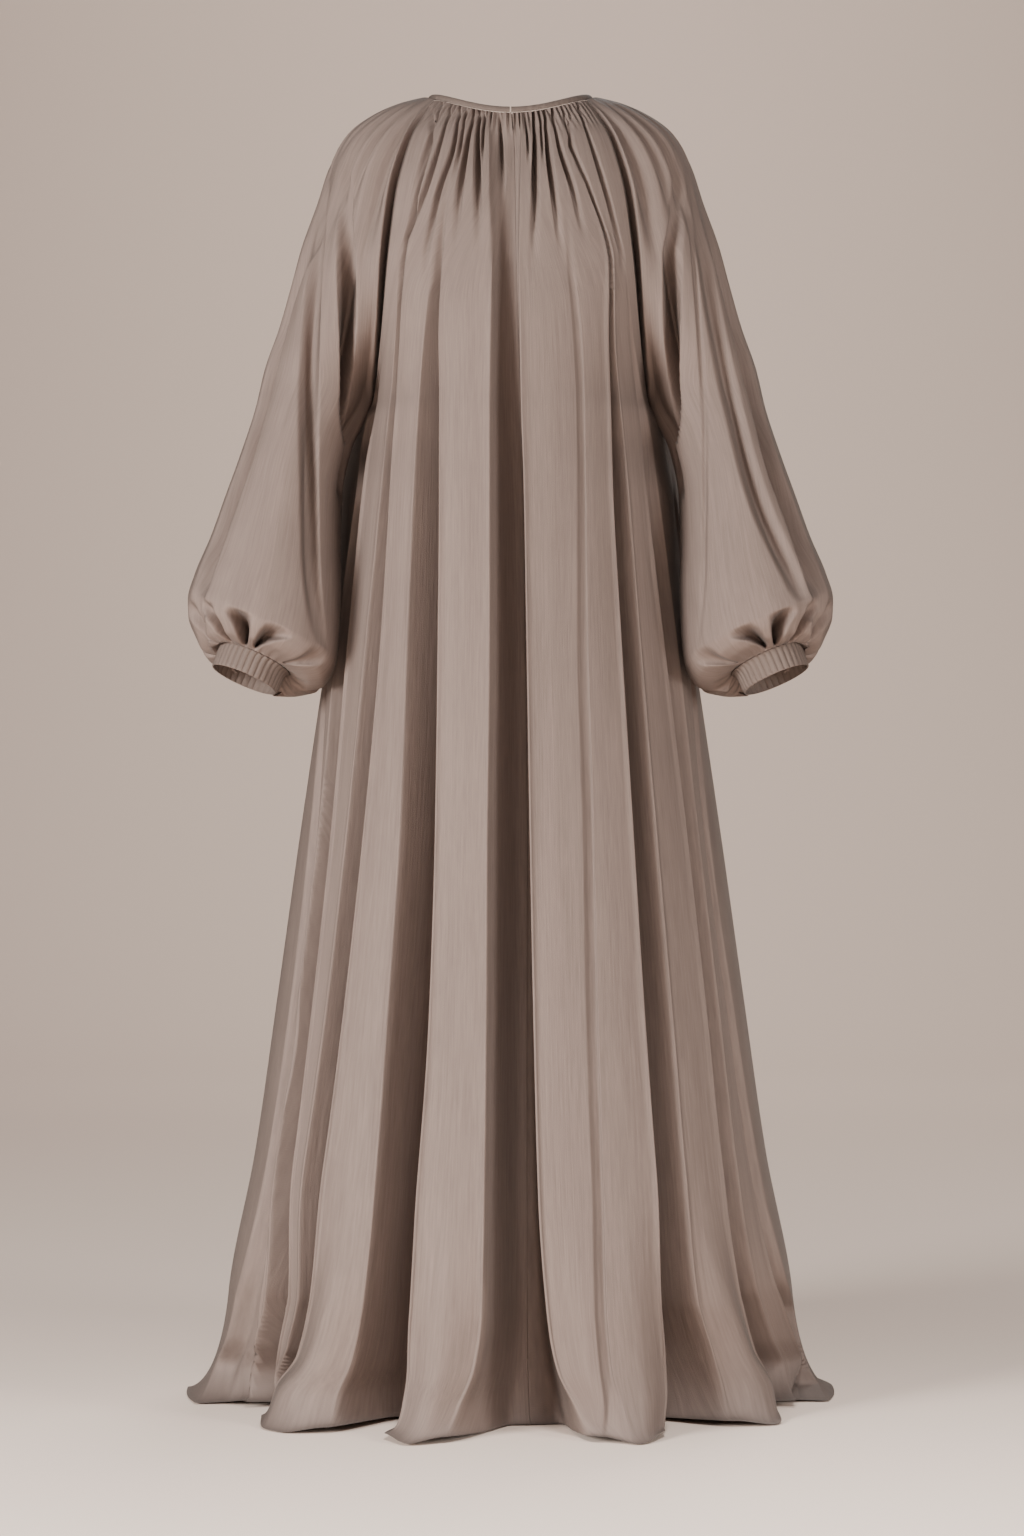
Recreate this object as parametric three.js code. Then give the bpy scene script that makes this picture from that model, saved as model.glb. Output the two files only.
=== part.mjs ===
// A floor-length abaya with a gathered neck, raglan balloon sleeves and elastic cuffs, held open
// as if worn. Millimetres, +Z up, -Y is the front, +X the wearer's left. The origin is the centre
// of the neck opening, level with the sides of the neck, where the wearer's shoulders carry it.
//
// Every piece is a thin wall. A piece's outer face is a grid: rows run down from the neck, and
// columns run round the body or the arm. Folds are troughs pressed into that grid.
import * as THREE from "three";

// Driving dimensions
const FLOOR_DROP = 1457; // from the sides of the neck down to the floor
const NECK_HALF_WIDTH = 91;
const NECK_HALF_DEPTH = 72;
const NECK_DIP_FRONT = 24; // how far the neckline falls below its sides
const NECK_DIP_BACK = 6;
const NECK_DIP_POWER = 2.5;
const NECK_DIP_REACH = 150; // drop at which the rows are level
const RAGLAN_ANGLE = 61.5; // degrees round the neck from centre to raglan seam
const UNDERARM_DROP = 350;
const HEM_SWEEP_DROP = 1340; // below this the cloth sweeps out to the floor
const HEM_SWEEP_LENGTH = 130;
const HEM_SWEEP_OUT = 36;
const CLOTH = 1.4;
const BAND_CLOTH = 2.4;
const CUFF_CLOTH = 2.6;
const BAND_HEIGHT = 6.5;
const SEAM_GAP = 0.3;
const SLIT_LENGTH = 170; // opening at the centre front, closed by the neckband
const SLIT_HALF_GAP = 1.7; // widest, just under the band
const FRONT_GATHERS = 24;
const BACK_GATHERS = 18;
const SLEEVE_GATHERS = 5;
const CUFF_GATHERS = 12;
const CUFF_RIBS = 26;
const FULL_TURN = 2 * Math.PI;
const degrees = Math.PI / 180;
const HEM_DROP = HEM_SWEEP_DROP + HEM_SWEEP_LENGTH; // measured along the cloth

// Columns: so many to each gather in the rows near the neck and cuffs, and below those rows so
// many to each fold and so many between one fold and the next
const FRONT_GATHER_COLUMNS = 4;
const BACK_GATHER_COLUMNS = 3;
const SLEEVE_GATHER_COLUMNS = 4;
const DEEP_FOLD_STOPS = [-1, -0.5, 0, 0.5, 1]; // across a fold, from lip to lip
const SHALLOW_FOLD_STOPS = [-1, 0, 1];
const DEEP_FOLD = 25;
const BODY_BETWEEN = 1;
const SLEEVE_BETWEEN = 2;
const SEAM_FLAT = 22; // no fold comes nearer to a seam
const BAND_STATIONS = 52;

// Rows, as drops along the cloth. The panels share the rows above the underarm, seam to seam.
const GATHER_ROWS = [BAND_HEIGHT + 2 * SEAM_GAP, 16, 34, 58, 86, 120, 156];
const CHEST_ROWS = [200, 250, 300, UNDERARM_DROP];
const SKIRT_ROWS = [400, 455, 560, 680, 840, 1010, 1180, HEM_SWEEP_DROP, 1385, 1420, 1448, HEM_DROP];
const SLEEVE_ROWS = [400, 455, 510, 560, 605, 640];
const CUFF_TOP = 696;
const CUFF_BOTTOM = 724;
const PUFF_ROWS = [662, 676, 684, 690, CUFF_TOP];

// Half width and depth of the body at the crests of its folds
// (its half width above the underarm is the raglan seam's)
const BODY = table(["drop", "halfWidth", "front", "back", "arc", "sideY"], [
  [0, 0, 72, 72, RAGLAN_ANGLE, 0],
  [50, 0, 92, 84, 57, 0],
  [116, 0, 112, 100, 53, 0],
  [205, 0, 130, 114, 57, 0],
  [252, 0, 139, 120, 64, 0],
  [300, 0, 145, 124, 76, 0],
  [UNDERARM_DROP, 156, 151, 128, 90, -12],
  [400, 181, 158, 136, 90, 44],
  [455, 193, 166, 143, 90, 54],
  [560, 201, 182, 160, 90, 50],
  [680, 217, 204, 179, 90, 42],
  [850, 241, 236, 208, 90, 24],
  [1020, 264, 267, 236, 90, 12],
  [1189, 288, 297, 264, 90, 5],
  [HEM_SWEEP_DROP, 317, 322, 289, 90, 2],
  [HEM_DROP, 328, 332, 300, 90, 0],
]);

// The sleeve's rings. The seam side lies on the raglan seam, and below the underarm on the inside
// of the arm. Span is the half turn from the outside of the arm to the seam.
const SLEEVE = table(
  ["drop", "seamX", "seamZ", "outX", "outZ", "midY", "halfDepth", "span", "frontLift"],
  [
    [0, 80, 0, 91, 0, 0, 72, 28.5, 0],
    [25, 97, -25, 125, -8, 0, 84, 38, 0],
    [50, 110, -50, 153, -20, 0, 92, 45, 0],
    [82, 120, -82, 183, -42, 0, 97, 50, 0],
    [116, 128, -116, 203, -76, 0, 99, 54, 0],
    [160, 134, -160, 218, -122, -2, 93, 63, 0],
    [205, 139, -205, 235, -170, -4, 82, 88, 0],
    [252, 143, -252, 247, -215, -6, 77, 117, 0],
    [300, 148, -300, 260, -262, -9, 76, 148, 0],
    [UNDERARM_DROP, 156, -350, 277, -312, -12, 76, 180, 0],
    [400, 178, -400, 286, -355, -24, 76, 180, 0],
    [455, 188, -455, 302, -408, -38, 77, 180, 0],
    [510, 189, -510, 318, -455, -48, 79, 180, 0],
    [560, 188, -560, 333, -500, -60, 80, 180, 0],
    [605, 189, -605, 350, -543, -70, 80, 180, 4],
    [640, 192, -638, 357, -572, -77, 78, 180, 14],
    [662, 199, -660, 356, -592, -80, 74, 180, 24],
    [676, 209, -671, 348, -612, -82, 67, 180, 28],
    [684, 221, -673, 340, -626, -82, 59, 180, 27],
    [690, 233, -667, 331, -629, -81, 50, 180, 21],
    [696, 244, -653, 321, -620, -80, 41, 180, 8],
    [724, 258, -674, 330, -646, -87, 38, 180, 8],
  ],
);

// Long folds of the skirt. x is the fold's place as seen from the front, at the drops in FOLD_DROPS;
// half is its half width and depth its depth at FORM_DROPS. Wall is the share of the half width
// that its sides take, lean shifts its floor to the wearer's left, and belly widens its floor.
const FOLD_DROPS = [60, 250, 455, 703, 1150, HEM_DROP];
const FORM_DROPS = [250, 703, 1150, HEM_DROP];
const FOLD_COLUMNS = ["name", "from", "x", "half", "depth", "wall", "lean", "belly"];
const FRONT_FOLDS = rows(FOLD_COLUMNS, [
  ["right side", 400, [-120, -147, -184, -211, -278, -350], [5, 9, 14, 20], [1, 12, 20, 30], 1, 0, 0],
  ["right outer", 300, [-110, -143, -170, -190, -250, -305], [6, 14, 20, 28], [3, 28, 40, 50], 0.9, -0.2, 0],
  ["right inner", 0, [-80, -121, -136, -152, -205, -264], [7, 14, 20, 30], [14, 32, 48, 70], 0.8, 0.35, 0.2],
  ["right front", 170, [-88, -92, -91, -98, -121, -186], [9, 22, 31, 44], [10, 46, 70, 96], 0.9, 0.3, 0.2],
  ["centre", 60, [0, -6, -3, 1, 6, 19], [17, 26, 32, 46], [15, 46, 88, 138], 0.7, 0.15, 0.3],
  ["left crease", 290, [60, 70, 74.5, 76, 86, 112], [8, 14, 15, 18], [1, 12, 14, 10], 1, 0, 0],
  ["left front", 0, [64, 108, 123, 141, 180, 228], [8, 22, 30, 44], [16, 44, 72, 98], 0.9, -0.35, 0.2],
  ["left outer", 300, [100, 137, 163, 196, 240, 304], [6, 15, 21, 30], [3, 28, 42, 55], 0.9, 0.2, 0],
  ["left side", 400, [120, 147, 184, 211, 278, 352], [5, 9, 14, 18], [1, 12, 20, 28], 1, 0, 0],
]);
const BACK_FOLDS = rows(FOLD_COLUMNS, [
  ["right side", 380, [-118, -146, -184, -216, -284, -344], [5, 12, 18, 24], [1, 15, 26, 36], 1, 0, 0],
  ["right outer", 60, [-88, -118, -138, -162, -214, -268], [6, 16, 24, 32], [4, 32, 48, 66], 0.9, 0.3, 0],
  ["right middle", 150, [-52, -70, -84, -98, -128, -160], [7, 18, 27, 36], [5, 38, 60, 82], 0.8, 0.2, 0.2],
  ["right back", 60, [-22, -28, -32, -38, -50, -62], [6, 15, 21, 28], [5, 28, 44, 60], 1, -0.2, 0],
  ["centre", 180, [6, 10, 14, 17, 22, 26], [7, 20, 28, 36], [4, 40, 66, 92], 0.8, 0.1, 0.2],
  ["left back", 40, [40, 58, 70, 82, 108, 134], [6, 16, 24, 32], [6, 32, 52, 72], 0.9, -0.3, 0.1],
  ["left middle", 220, [66, 96, 118, 140, 184, 232], [6, 18, 27, 36], [3, 36, 58, 80], 0.9, -0.2, 0.1],
  ["left side", 300, [110, 138, 174, 206, 272, 334], [5, 14, 20, 27], [2, 22, 32, 42], 1, 0, 0],
]);

// Gathers at the neck, right to left: how far down each one runs
const FRONT_GATHER_LENGTHS = [
  60, 150, 45, 120, 40, 140, 55, 130, 45, 185, 60, 190, 55, 130, 185, 45, 150, 120, 50, 140, 45, 100, 60,
];
const BACK_GATHER_LENGTHS = [60, 130, 50, 150, 45, 170, 60, 120, 190, 55, 140, 60, 160, 45, 130, 55, 120];
const GATHER_DEPTH = 2.4; // at the band
const GATHER_DEEPEST = 6.2; // of the longest
const GATHER_DEEPENS = 45; // drop at which a gather is deepest

// Folds of the sleeve: x as seen from the front, at SLEEVE_FOLD_DROPS
const SLEEVE_FOLD_DROPS = [160, 252, 350, 430, 520, 620];
const SLEEVE_FOLDS = rows(["name", "face", "from", "to", "x", "half", "depth", "wall"], [
  ["inner drape", -1, 60, 620, [195, 184, 180, 184, 188, 198], 13, 32, 0.9],
  ["front drape", -1, 150, 640, [205, 221, 226, 228, 232, 224], 18, 14, 1],
  ["outer drape", -1, 250, 670, [215, 242, 268, 282, 306, 336], 14, 13, 1],
  ["back outer drape", 1, 200, 650, [206, 228, 246, 262, 284, 300], 20, 16, 1],
  ["back inner drape", 1, 140, 600, [180, 186, 196, 204, 214, 224], 20, 24, 0.9],
]);
// Pinches in the puff above the cuff: degrees round the arm from its outside, the front negative
const PINCHES = rows(["turn", "half", "depth"], [
  [-140, 10, 12],
  [-104, 9, 15],
  [-78, 9, 17],
  [-50, 10, 12],
  [-12, 11, 11],
  [34, 10, 12],
  [76, 11, 15],
  [118, 10, 12],
]);
const PINCH_LENGTH = 50;

// Places where the hem's edge curls up off the floor
const HEM_CURLS = rows(["x", "half", "lift"], [
  [-268, 14, 9],
  [-192, 12, 12],
  [-31, 11, 13],
  [42, 11, 13],
  [228, 14, 14],
  [292, 12, 9],
]);
const HEM_CURL_HEIGHT = 45;

// Reading the tables
function rows(columns, data) {
  return data.map((values) => Object.fromEntries(columns.map((name, i) => [name, values[i]])));
}

// A table whose first column is a drop becomes one smooth curve for each other column.
function table(columns, data) {
  const drops = data.map((values) => values[0]);
  const curves = columns.slice(1).map((name, i) => [name, through(drops, data.map((v) => v[i + 1]))]);
  return Object.fromEntries(curves);
}

// A smooth curve through the given values that never overshoots them.
function through(xs, ys) {
  const slopes = xs.slice(1).map((x, i) => (ys[i + 1] - ys[i]) / (x - xs[i]));
  const tangents = xs.map((_, i) => {
    const before = slopes[Math.max(0, i - 1)];
    const after = slopes[Math.min(slopes.length - 1, i)];
    return before * after <= 0 ? 0 : (2 * before * after) / (before + after);
  });
  return (x) => {
    if (x <= xs[0]) return ys[0];
    if (x >= xs[xs.length - 1]) return ys[ys.length - 1];
    const i = xs.findIndex((next) => next > x) - 1;
    const span = xs[i + 1] - xs[i];
    const t = (x - xs[i]) / span;
    const ease = t * t * (3 - 2 * t);
    const bend = t * (1 - t) * span * ((1 - t) * tangents[i] - t * tangents[i + 1]);
    return ys[i] * (1 - ease) + ys[i + 1] * ease + bend;
  };
}

const clamp = THREE.MathUtils.clamp;
const smoothstep = THREE.MathUtils.smoothstep;
const lerp = THREE.MathUtils.lerp;

// Height of the neckline at an angle round the neck, 0 at the centre front
function neckHeight(angle) {
  const dip = Math.cos(angle) > 0 ? NECK_DIP_FRONT : NECK_DIP_BACK;
  return -dip * Math.abs(Math.cos(angle)) ** NECK_DIP_POWER;
}

function levelled(drop) {
  return 1 - smoothstep(drop, 0, NECK_DIP_REACH);
}

// Height below the origin and sweep outwards of the body at a drop along the cloth
function fallOf(drop) {
  if (drop <= HEM_SWEEP_DROP) return { z: -drop, out: 0 };
  const turn = ((drop - HEM_SWEEP_DROP) / HEM_SWEEP_LENGTH) * (Math.PI / 2);
  const height = FLOOR_DROP - HEM_SWEEP_DROP - CLOTH;
  return { z: -HEM_SWEEP_DROP - height * Math.sin(turn), out: HEM_SWEEP_OUT * (1 - Math.cos(turn)) };
}

// The trough's depth across it: 0 at its lips, 1 along its floor
function troughShape(t, wall) {
  return 1 - smoothstep(Math.abs(t), 1 - wall, 1);
}

// The body's outline in plan, before its folds. Face is -1 for the front and 1 for the back,
// and angle runs from -arc at the wearer's right to +arc at the wearer's left.
function bodyOutline(face, angle, drop) {
  const arc = BODY.arc(drop) * degrees;
  const share = (Math.cos(angle) - Math.cos(arc)) / (1 - Math.cos(arc));
  const { out } = fallOf(drop);
  const crown = face * ((face < 0 ? BODY.front(drop) : BODY.back(drop)) + out);
  return new THREE.Vector2(
    (halfWidthAt(drop) * Math.sin(angle)) / Math.sin(arc),
    lerp(seamY(face, drop), crown, share),
  );
}

// Half width of the body: out to the raglan seams above the underarm, to the side seams below it
function halfWidthAt(drop) {
  return (drop < UNDERARM_DROP ? SLEEVE.seamX(drop) : BODY.halfWidth(drop)) + fallOf(drop).out;
}

// Y of a panel's side edge: on the raglan seam above the underarm, on the side seam below it
function seamY(face, drop) {
  if (drop >= UNDERARM_DROP) return BODY.sideY(drop);
  return SLEEVE.midY(drop) + face * SLEEVE.halfDepth(drop) * Math.sin(SLEEVE.span(drop) * degrees);
}

// The gathers at the neck are short troughs, evenly set between the raglan seams.
function gathersOf(count, lengths) {
  return lengths.map((length, i) => ({ share: -1 + (2 * (i + 1)) / count, half: 1 / count, length }));
}
const BODY_GATHERS = {
  [-1]: gathersOf(FRONT_GATHERS, FRONT_GATHER_LENGTHS),
  [1]: gathersOf(BACK_GATHERS, BACK_GATHER_LENGTHS),
};

function gatherDepth(drop, length) {
  const deepest = GATHER_DEEPEST * clamp(length / 150, 0.45, 1);
  const depth = lerp(GATHER_DEPTH, deepest, smoothstep(drop, 0, GATHER_DEEPENS));
  return depth * (1 - smoothstep(drop, 0.45 * length, length));
}

const FOLDS = { [-1]: FRONT_FOLDS, [1]: BACK_FOLDS };
for (const fold of [...FRONT_FOLDS, ...BACK_FOLDS]) {
  fold.xAt = through(FOLD_DROPS, fold.x);
  fold.halfAt = through(FORM_DROPS, fold.half);
  fold.depthAt = through(FORM_DROPS, fold.depth);
}

// Where a fold lies at a drop: the angle of its middle and the angle its half width takes
function foldPlace(face, fold, drop) {
  const arc = BODY.arc(drop) * degrees;
  const middle = Math.asin(clamp((fold.xAt(drop) * Math.sin(arc)) / halfWidthAt(drop), -0.995, 0.995));
  const step = 0.01;
  const length = bodyOutline(face, middle, drop).distanceTo(bodyOutline(face, middle + step, drop)) / step;
  return { middle, reach: fold.halfAt(drop) / length };
}

// A point of the body's outer face: the outline, pressed in along its folds and gathers
function bodyPoint(face, share, drop) {
  const arc = BODY.arc(drop) * degrees;
  const angle = share * arc;
  const place = bodyOutline(face, angle, drop);
  const clearOfSeam = smoothstep((1 - Math.abs(share)) * arc * halfWidthAt(drop), 0, SEAM_FLAT);
  let depth = 0;
  let shift = 0;
  for (const fold of FOLDS[face]) {
    const grown = smoothstep(drop, fold.from, fold.from + 120);
    if (grown === 0) continue;
    const { middle, reach } = foldPlace(face, fold, drop);
    const t = (angle - middle) / reach;
    if (Math.abs(t) >= 1) continue;
    const press = troughShape(t, fold.wall) * grown * clearOfSeam;
    const foldDepth = fold.depthAt(drop) * press;
    depth += foldDepth;
    shift += fold.lean * foldDepth + fold.belly * fold.halfAt(drop) * t * press;
  }
  for (const gather of BODY_GATHERS[face]) {
    const t = (share - gather.share) / gather.half;
    if (Math.abs(t) < 1 && drop < gather.length) {
      depth += gatherDepth(drop, gather.length) * troughShape(t, 1);
    }
  }
  const inward = place.clone().multiplyScalar(-1).normalize();
  const along = new THREE.Vector2(-inward.y, inward.x).multiplyScalar(face < 0 ? -1 : 1);
  const fall = fallOf(drop);
  const neckAngle = face < 0 ? share * RAGLAN_ANGLE * degrees : Math.PI - share * RAGLAN_ANGLE * degrees;
  const curl = hemCurl(face, place.x, drop);
  return new THREE.Vector3(
    place.x + inward.x * depth + along.x * shift,
    place.y + inward.y * depth + along.y * shift,
    fall.z + neckHeight(neckAngle) * levelled(drop) + curl,
  );
}

function hemCurl(face, x, drop) {
  if (face > 0) return 0;
  const near = smoothstep(drop, HEM_DROP - HEM_CURL_HEIGHT, HEM_DROP);
  return HEM_CURLS.reduce((sum, curl) => {
    const t = (x - curl.x) / curl.half;
    return Math.abs(t) < 1 ? sum + curl.lift * near * troughShape(t, 1) : sum;
  }, 0);
}

for (const fold of SLEEVE_FOLDS) fold.xAt = through(SLEEVE_FOLD_DROPS, fold.x);

// The sleeve's ring at a drop: its centre, its half axes, and the turn from its outside to its seam
function sleeveRing(drop) {
  const span = SLEEVE.span(drop) * degrees;
  const seamX = SLEEVE.seamX(drop);
  const outX = SLEEVE.outX(drop);
  const halfWidth = (outX - seamX) / (1 - Math.cos(span));
  const centreX = outX - halfWidth;
  const midY = SLEEVE.midY(drop);
  const halfDepth = SLEEVE.halfDepth(drop);
  return { drop, span, halfWidth, centreX, midY, halfDepth };
}

function sleeveFoldPlace(fold, ring) {
  const across = clamp((fold.xAt(ring.drop) - ring.centreX) / ring.halfWidth, -0.995, 0.995);
  return { middle: fold.face * Math.acos(across), reach: (2 * fold.half) / (ring.halfWidth + ring.halfDepth) };
}

// A point of the wearer's left sleeve. Share runs from -1 at the front seam, round the outside of
// the arm, to 1 at the back seam; below the underarm both ends are the same line.
function sleevePoint(share, drop) {
  const ring = sleeveRing(drop);
  const turn = share * ring.span;
  const outward = (Math.cos(turn) - Math.cos(ring.span)) / (1 - Math.cos(ring.span));
  const clearOfSeam = smoothstep((1 - Math.abs(share)) * ring.span * ring.halfDepth, 0, SEAM_FLAT);
  let depth = 0;
  for (const fold of SLEEVE_FOLDS) {
    const shown = smoothstep(drop, fold.from, fold.from + 150) * (1 - smoothstep(drop, fold.to - 70, fold.to));
    if (shown === 0) continue;
    const { middle, reach } = sleeveFoldPlace(fold, ring);
    const t = (turn - middle) / reach;
    if (Math.abs(t) < 1) depth += fold.depth * shown * troughShape(t, fold.wall) * clearOfSeam;
  }
  depth += sleeveHeadDepth(share, drop) + puffDepth(share, drop);
  const clearance = drop === CUFF_TOP ? 1.2 * SEAM_GAP : 0; // over the cuff's upper edge
  const x = ring.centreX + (ring.halfWidth + clearance) * Math.cos(turn);
  const y = SLEEVE.midY(drop) + (ring.halfDepth + clearance) * Math.sin(turn);
  const tilt = SLEEVE.frontLift(drop) * Math.sin(turn);
  const z = lerp(SLEEVE.seamZ(drop), SLEEVE.outZ(drop), outward) - tilt + clearance;
  const inward = new THREE.Vector2(ring.centreX - x, SLEEVE.midY(drop) - y).normalize();
  const neckAngle = Math.PI / 2 + share * (90 - RAGLAN_ANGLE) * degrees;
  return new THREE.Vector3(
    x + inward.x * depth,
    y + inward.y * depth,
    z + neckHeight(neckAngle) * levelled(drop),
  );
}

// Soft gathers where the sleeve's head meets the neckband
function sleeveHeadDepth(share, drop) {
  const wave = 0.5 - 0.5 * Math.cos((share + 1) * Math.PI * SLEEVE_GATHERS);
  return wave * GATHER_DEPTH * 1.4 * (1 - smoothstep(drop, 30, 110));
}

// Gathers and deeper pinches where the puff is drawn into the cuff
function puffDepth(share, drop) {
  if (drop >= CUFF_TOP) return 0;
  const wave = 0.5 - 0.5 * Math.cos((share + 1) * Math.PI * CUFF_GATHERS);
  const gathers = 3 * wave * smoothstep(drop, CUFF_TOP - 24, CUFF_TOP - 8);
  const level = smoothstep(drop, CUFF_TOP - PINCH_LENGTH, CUFF_TOP - 16);
  const fading = 1 - smoothstep(drop, CUFF_TOP - 14, CUFF_TOP - 5);
  return PINCHES.reduce((depth, pinch) => {
    const t = (share * 180 - pinch.turn) / pinch.half;
    return Math.abs(t) < 1 ? depth + pinch.depth * troughShape(t, 1) * level * fading : depth;
  }, gathers);
}

// Shares from start to end at even steps
function evenShares(start, end, count) {
  return Array.from({ length: count + 1 }, (_, i) => lerp(start, end, i / count));
}

// Shares from start to end that keep to the folds, so that a fold's lips and floor each stay on
// one column from row to row, with a few more columns between one fold and the next.
function foldShares(start, end, folds, between) {
  const shares = [start];
  const bridge = (to) => {
    const from = shares[shares.length - 1];
    for (let i = 1; i <= between; i += 1) shares.push(lerp(from, to, i / (between + 1)));
  };
  for (const { share, reach, stops } of folds) {
    const across = stops.map((stop) => share + stop * reach);
    if (stops[0] === -1) bridge(across[0]);
    shares.push(...across);
  }
  if (folds[folds.length - 1].stops.includes(1)) bridge(end);
  return spread([...shares, end]);
}

// Keeps shares in order, at least a small step apart, between the first and the last.
function spread(shares) {
  const last = shares.length - 1;
  const step = (0.3 * (shares[last] - shares[0])) / last;
  const spaced = [...shares];
  for (let i = 1; i < last; i += 1) spaced[i] = Math.max(spaced[i], spaced[i - 1] + step);
  for (let i = last - 1; i > 0; i -= 1) spaced[i] = Math.min(spaced[i], spaced[i + 1] - step);
  return spaced;
}

const stopsOf = (depth) => (depth >= DEEP_FOLD ? DEEP_FOLD_STOPS : SHALLOW_FOLD_STOPS);

function bodyFoldsAt(face, drop) {
  const arc = BODY.arc(drop) * degrees;
  return FOLDS[face].map((fold) => {
    const { middle, reach } = foldPlace(face, fold, drop);
    return { name: fold.name, share: middle / arc, reach: reach / arc, stops: stopsOf(fold.depth[3]) };
  });
}

function sleeveFoldsAt(drop) {
  const ring = sleeveRing(drop);
  return SLEEVE_FOLDS.map((fold) => {
    const { middle, reach } = sleeveFoldPlace(fold, ring);
    return { share: middle / ring.span, reach: reach / ring.span, stops: stopsOf(fold.depth) };
  });
}

// A panel is a list of rows of outer points. Direction is 1 if a row's shares rise along it.
function panel(drops, sharesOf, pointOf, direction = 1) {
  return drops.map((drop) =>
    sharesOf(drop).map((share) => ({ at: direction * share, point: pointOf(share, drop) })),
  );
}

// Two rows with different numbers of columns are joined by always stepping to the nearer next point.
function stitch(upper, lower, upperIndex, lowerIndex) {
  const faces = [];
  let i = 0;
  let j = 0;
  while (i < upper.length - 1 || j < lower.length - 1) {
    const nextUpper = i < upper.length - 1 ? upper[i + 1].at : Infinity;
    const nextLower = j < lower.length - 1 ? lower[j + 1].at : Infinity;
    if (nextUpper <= nextLower) {
      faces.push([upperIndex[i], lowerIndex[j], upperIndex[i + 1]]);
      i += 1;
    }
    if (nextLower <= nextUpper || nextUpper === Infinity) {
      faces.push([upperIndex[i], lowerIndex[j], lowerIndex[j + 1]]);
      j += 1;
    }
  }
  return faces;
}

// Numbers a panel's points and makes its outer faces. From the row closedFrom on, a row's two ends
// are the same point, so the panel is a tube there.
function sheetOf(grid, closedFrom = Infinity) {
  const points = [];
  const index = grid.map((row, r) => {
    const numbers = row.map((_, i) => points.length + i);
    const closed = r >= closedFrom;
    if (closed) numbers[row.length - 1] = numbers[0];
    row.slice(0, closed ? -1 : undefined).forEach(({ point }) => points.push(point));
    return numbers;
  });
  const faces = grid.slice(1).flatMap((row, r) => stitch(grid[r], row, index[r], index[r + 1]));
  return { points, faces: faces.filter(([a, b, c]) => a !== b && b !== c && c !== a), grid, index, closedFrom };
}

// Turns a sheet's faces over, where its rows run the other way round.
function flipped(sheet) {
  return { ...sheet, faces: sheet.faces.map(([a, b, c]) => [a, c, b]) };
}

// One outward direction for each point, shared by panels that meet there
function shareNormals(sheets) {
  const sums = new Map();
  const keyOf = (p) => p.toArray().map((v) => Math.round(v * 1000)).join();
  for (const { points, faces } of sheets) {
    for (const [a, b, c] of faces) {
      const ab = points[b].clone().sub(points[a]);
      const normal = ab.cross(points[c].clone().sub(points[a])).normalize();
      for (const i of [a, b, c]) {
        const key = keyOf(points[i]);
        sums.set(key, (sums.get(key) ?? new THREE.Vector3()).add(normal));
      }
    }
  }
  for (const sheet of sheets) sheet.normals = sheet.points.map((p) => sums.get(keyOf(p)).clone().normalize());
}

// Draws a sheet's side edges back from their seams, by the gap that gapOf gives at a row.
function easeSides(sheet, firstGap, lastGap) {
  sheet.grid.forEach((row, r) => {
    if (r >= sheet.closedFrom) return;
    const numbers = sheet.index[r];
    const last = numbers.length - 1;
    easePoint(sheet, numbers[0], numbers[1], firstGap(r));
    easePoint(sheet, numbers[last], numbers[last - 1], lastGap(r));
  });
}

function easePoint(sheet, edge, inner, gap) {
  const direction = sheet.points[inner].clone().sub(sheet.points[edge]);
  direction.projectOnPlane(sheet.normals[edge]).setLength(gap);
  sheet.eased ??= new Map();
  sheet.eased.set(edge, direction);
}

// Gives a sheet its thickness: the outer faces, the same faces moved in, and a rim between them.
function thicken(sheet, thickness) {
  const { points, faces, normals } = sheet;
  const outer = points.map((p, i) => p.clone().add(sheet.eased?.get(i) ?? new THREE.Vector3()));
  const inner = outer.map((p, i) => {
    const q = p.clone().addScaledVector(normals[i], -thickness);
    q.z = Math.max(q.z, -FLOOR_DROP);
    return q;
  });
  const count = points.length;
  const triangles = faces.flatMap(([a, b, c]) => [a, b, c, a + count, c + count, b + count]);
  const edges = new Map();
  for (const [a, b, c] of faces) {
    for (const [from, to] of [[a, b], [b, c], [c, a]]) {
      if (!edges.delete(`${to},${from}`)) edges.set(`${from},${to}`, [from, to]);
    }
  }
  // Both cloths at a seam split their rims the same way, from the higher outer point.
  for (const [from, to] of edges.values()) {
    if (points[from].z > points[to].z) {
      triangles.push(to, from, to + count, from, from + count, to + count);
    } else {
      triangles.push(to, from, from + count, to, from + count, to + count);
    }
  }
  const geometry = new THREE.BufferGeometry();
  const positions = [...outer, ...inner].flatMap((p) => p.toArray());
  geometry.setAttribute("position", new THREE.Float32BufferAttribute(positions, 3));
  geometry.setIndex(triangles);
  geometry.computeVertexNormals();
  return geometry;
}

const seamEase = () => SEAM_GAP / 2;
const BODY_ROWS = [...GATHER_ROWS, ...CHEST_ROWS, ...SKIRT_ROWS];
const isGatherRow = (drop) => drop <= GATHER_ROWS[GATHER_ROWS.length - 1];

// The slit at the centre front is widest under the band and shut from its lower end down.
function slitEase(r) {
  const drop = BODY_ROWS[r];
  return SEAM_GAP / 2 + SLIT_HALF_GAP * (1 - smoothstep(drop, 0, 40)) + 0.25 * (drop < SLIT_LENGTH ? 1 : 0);
}

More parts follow.
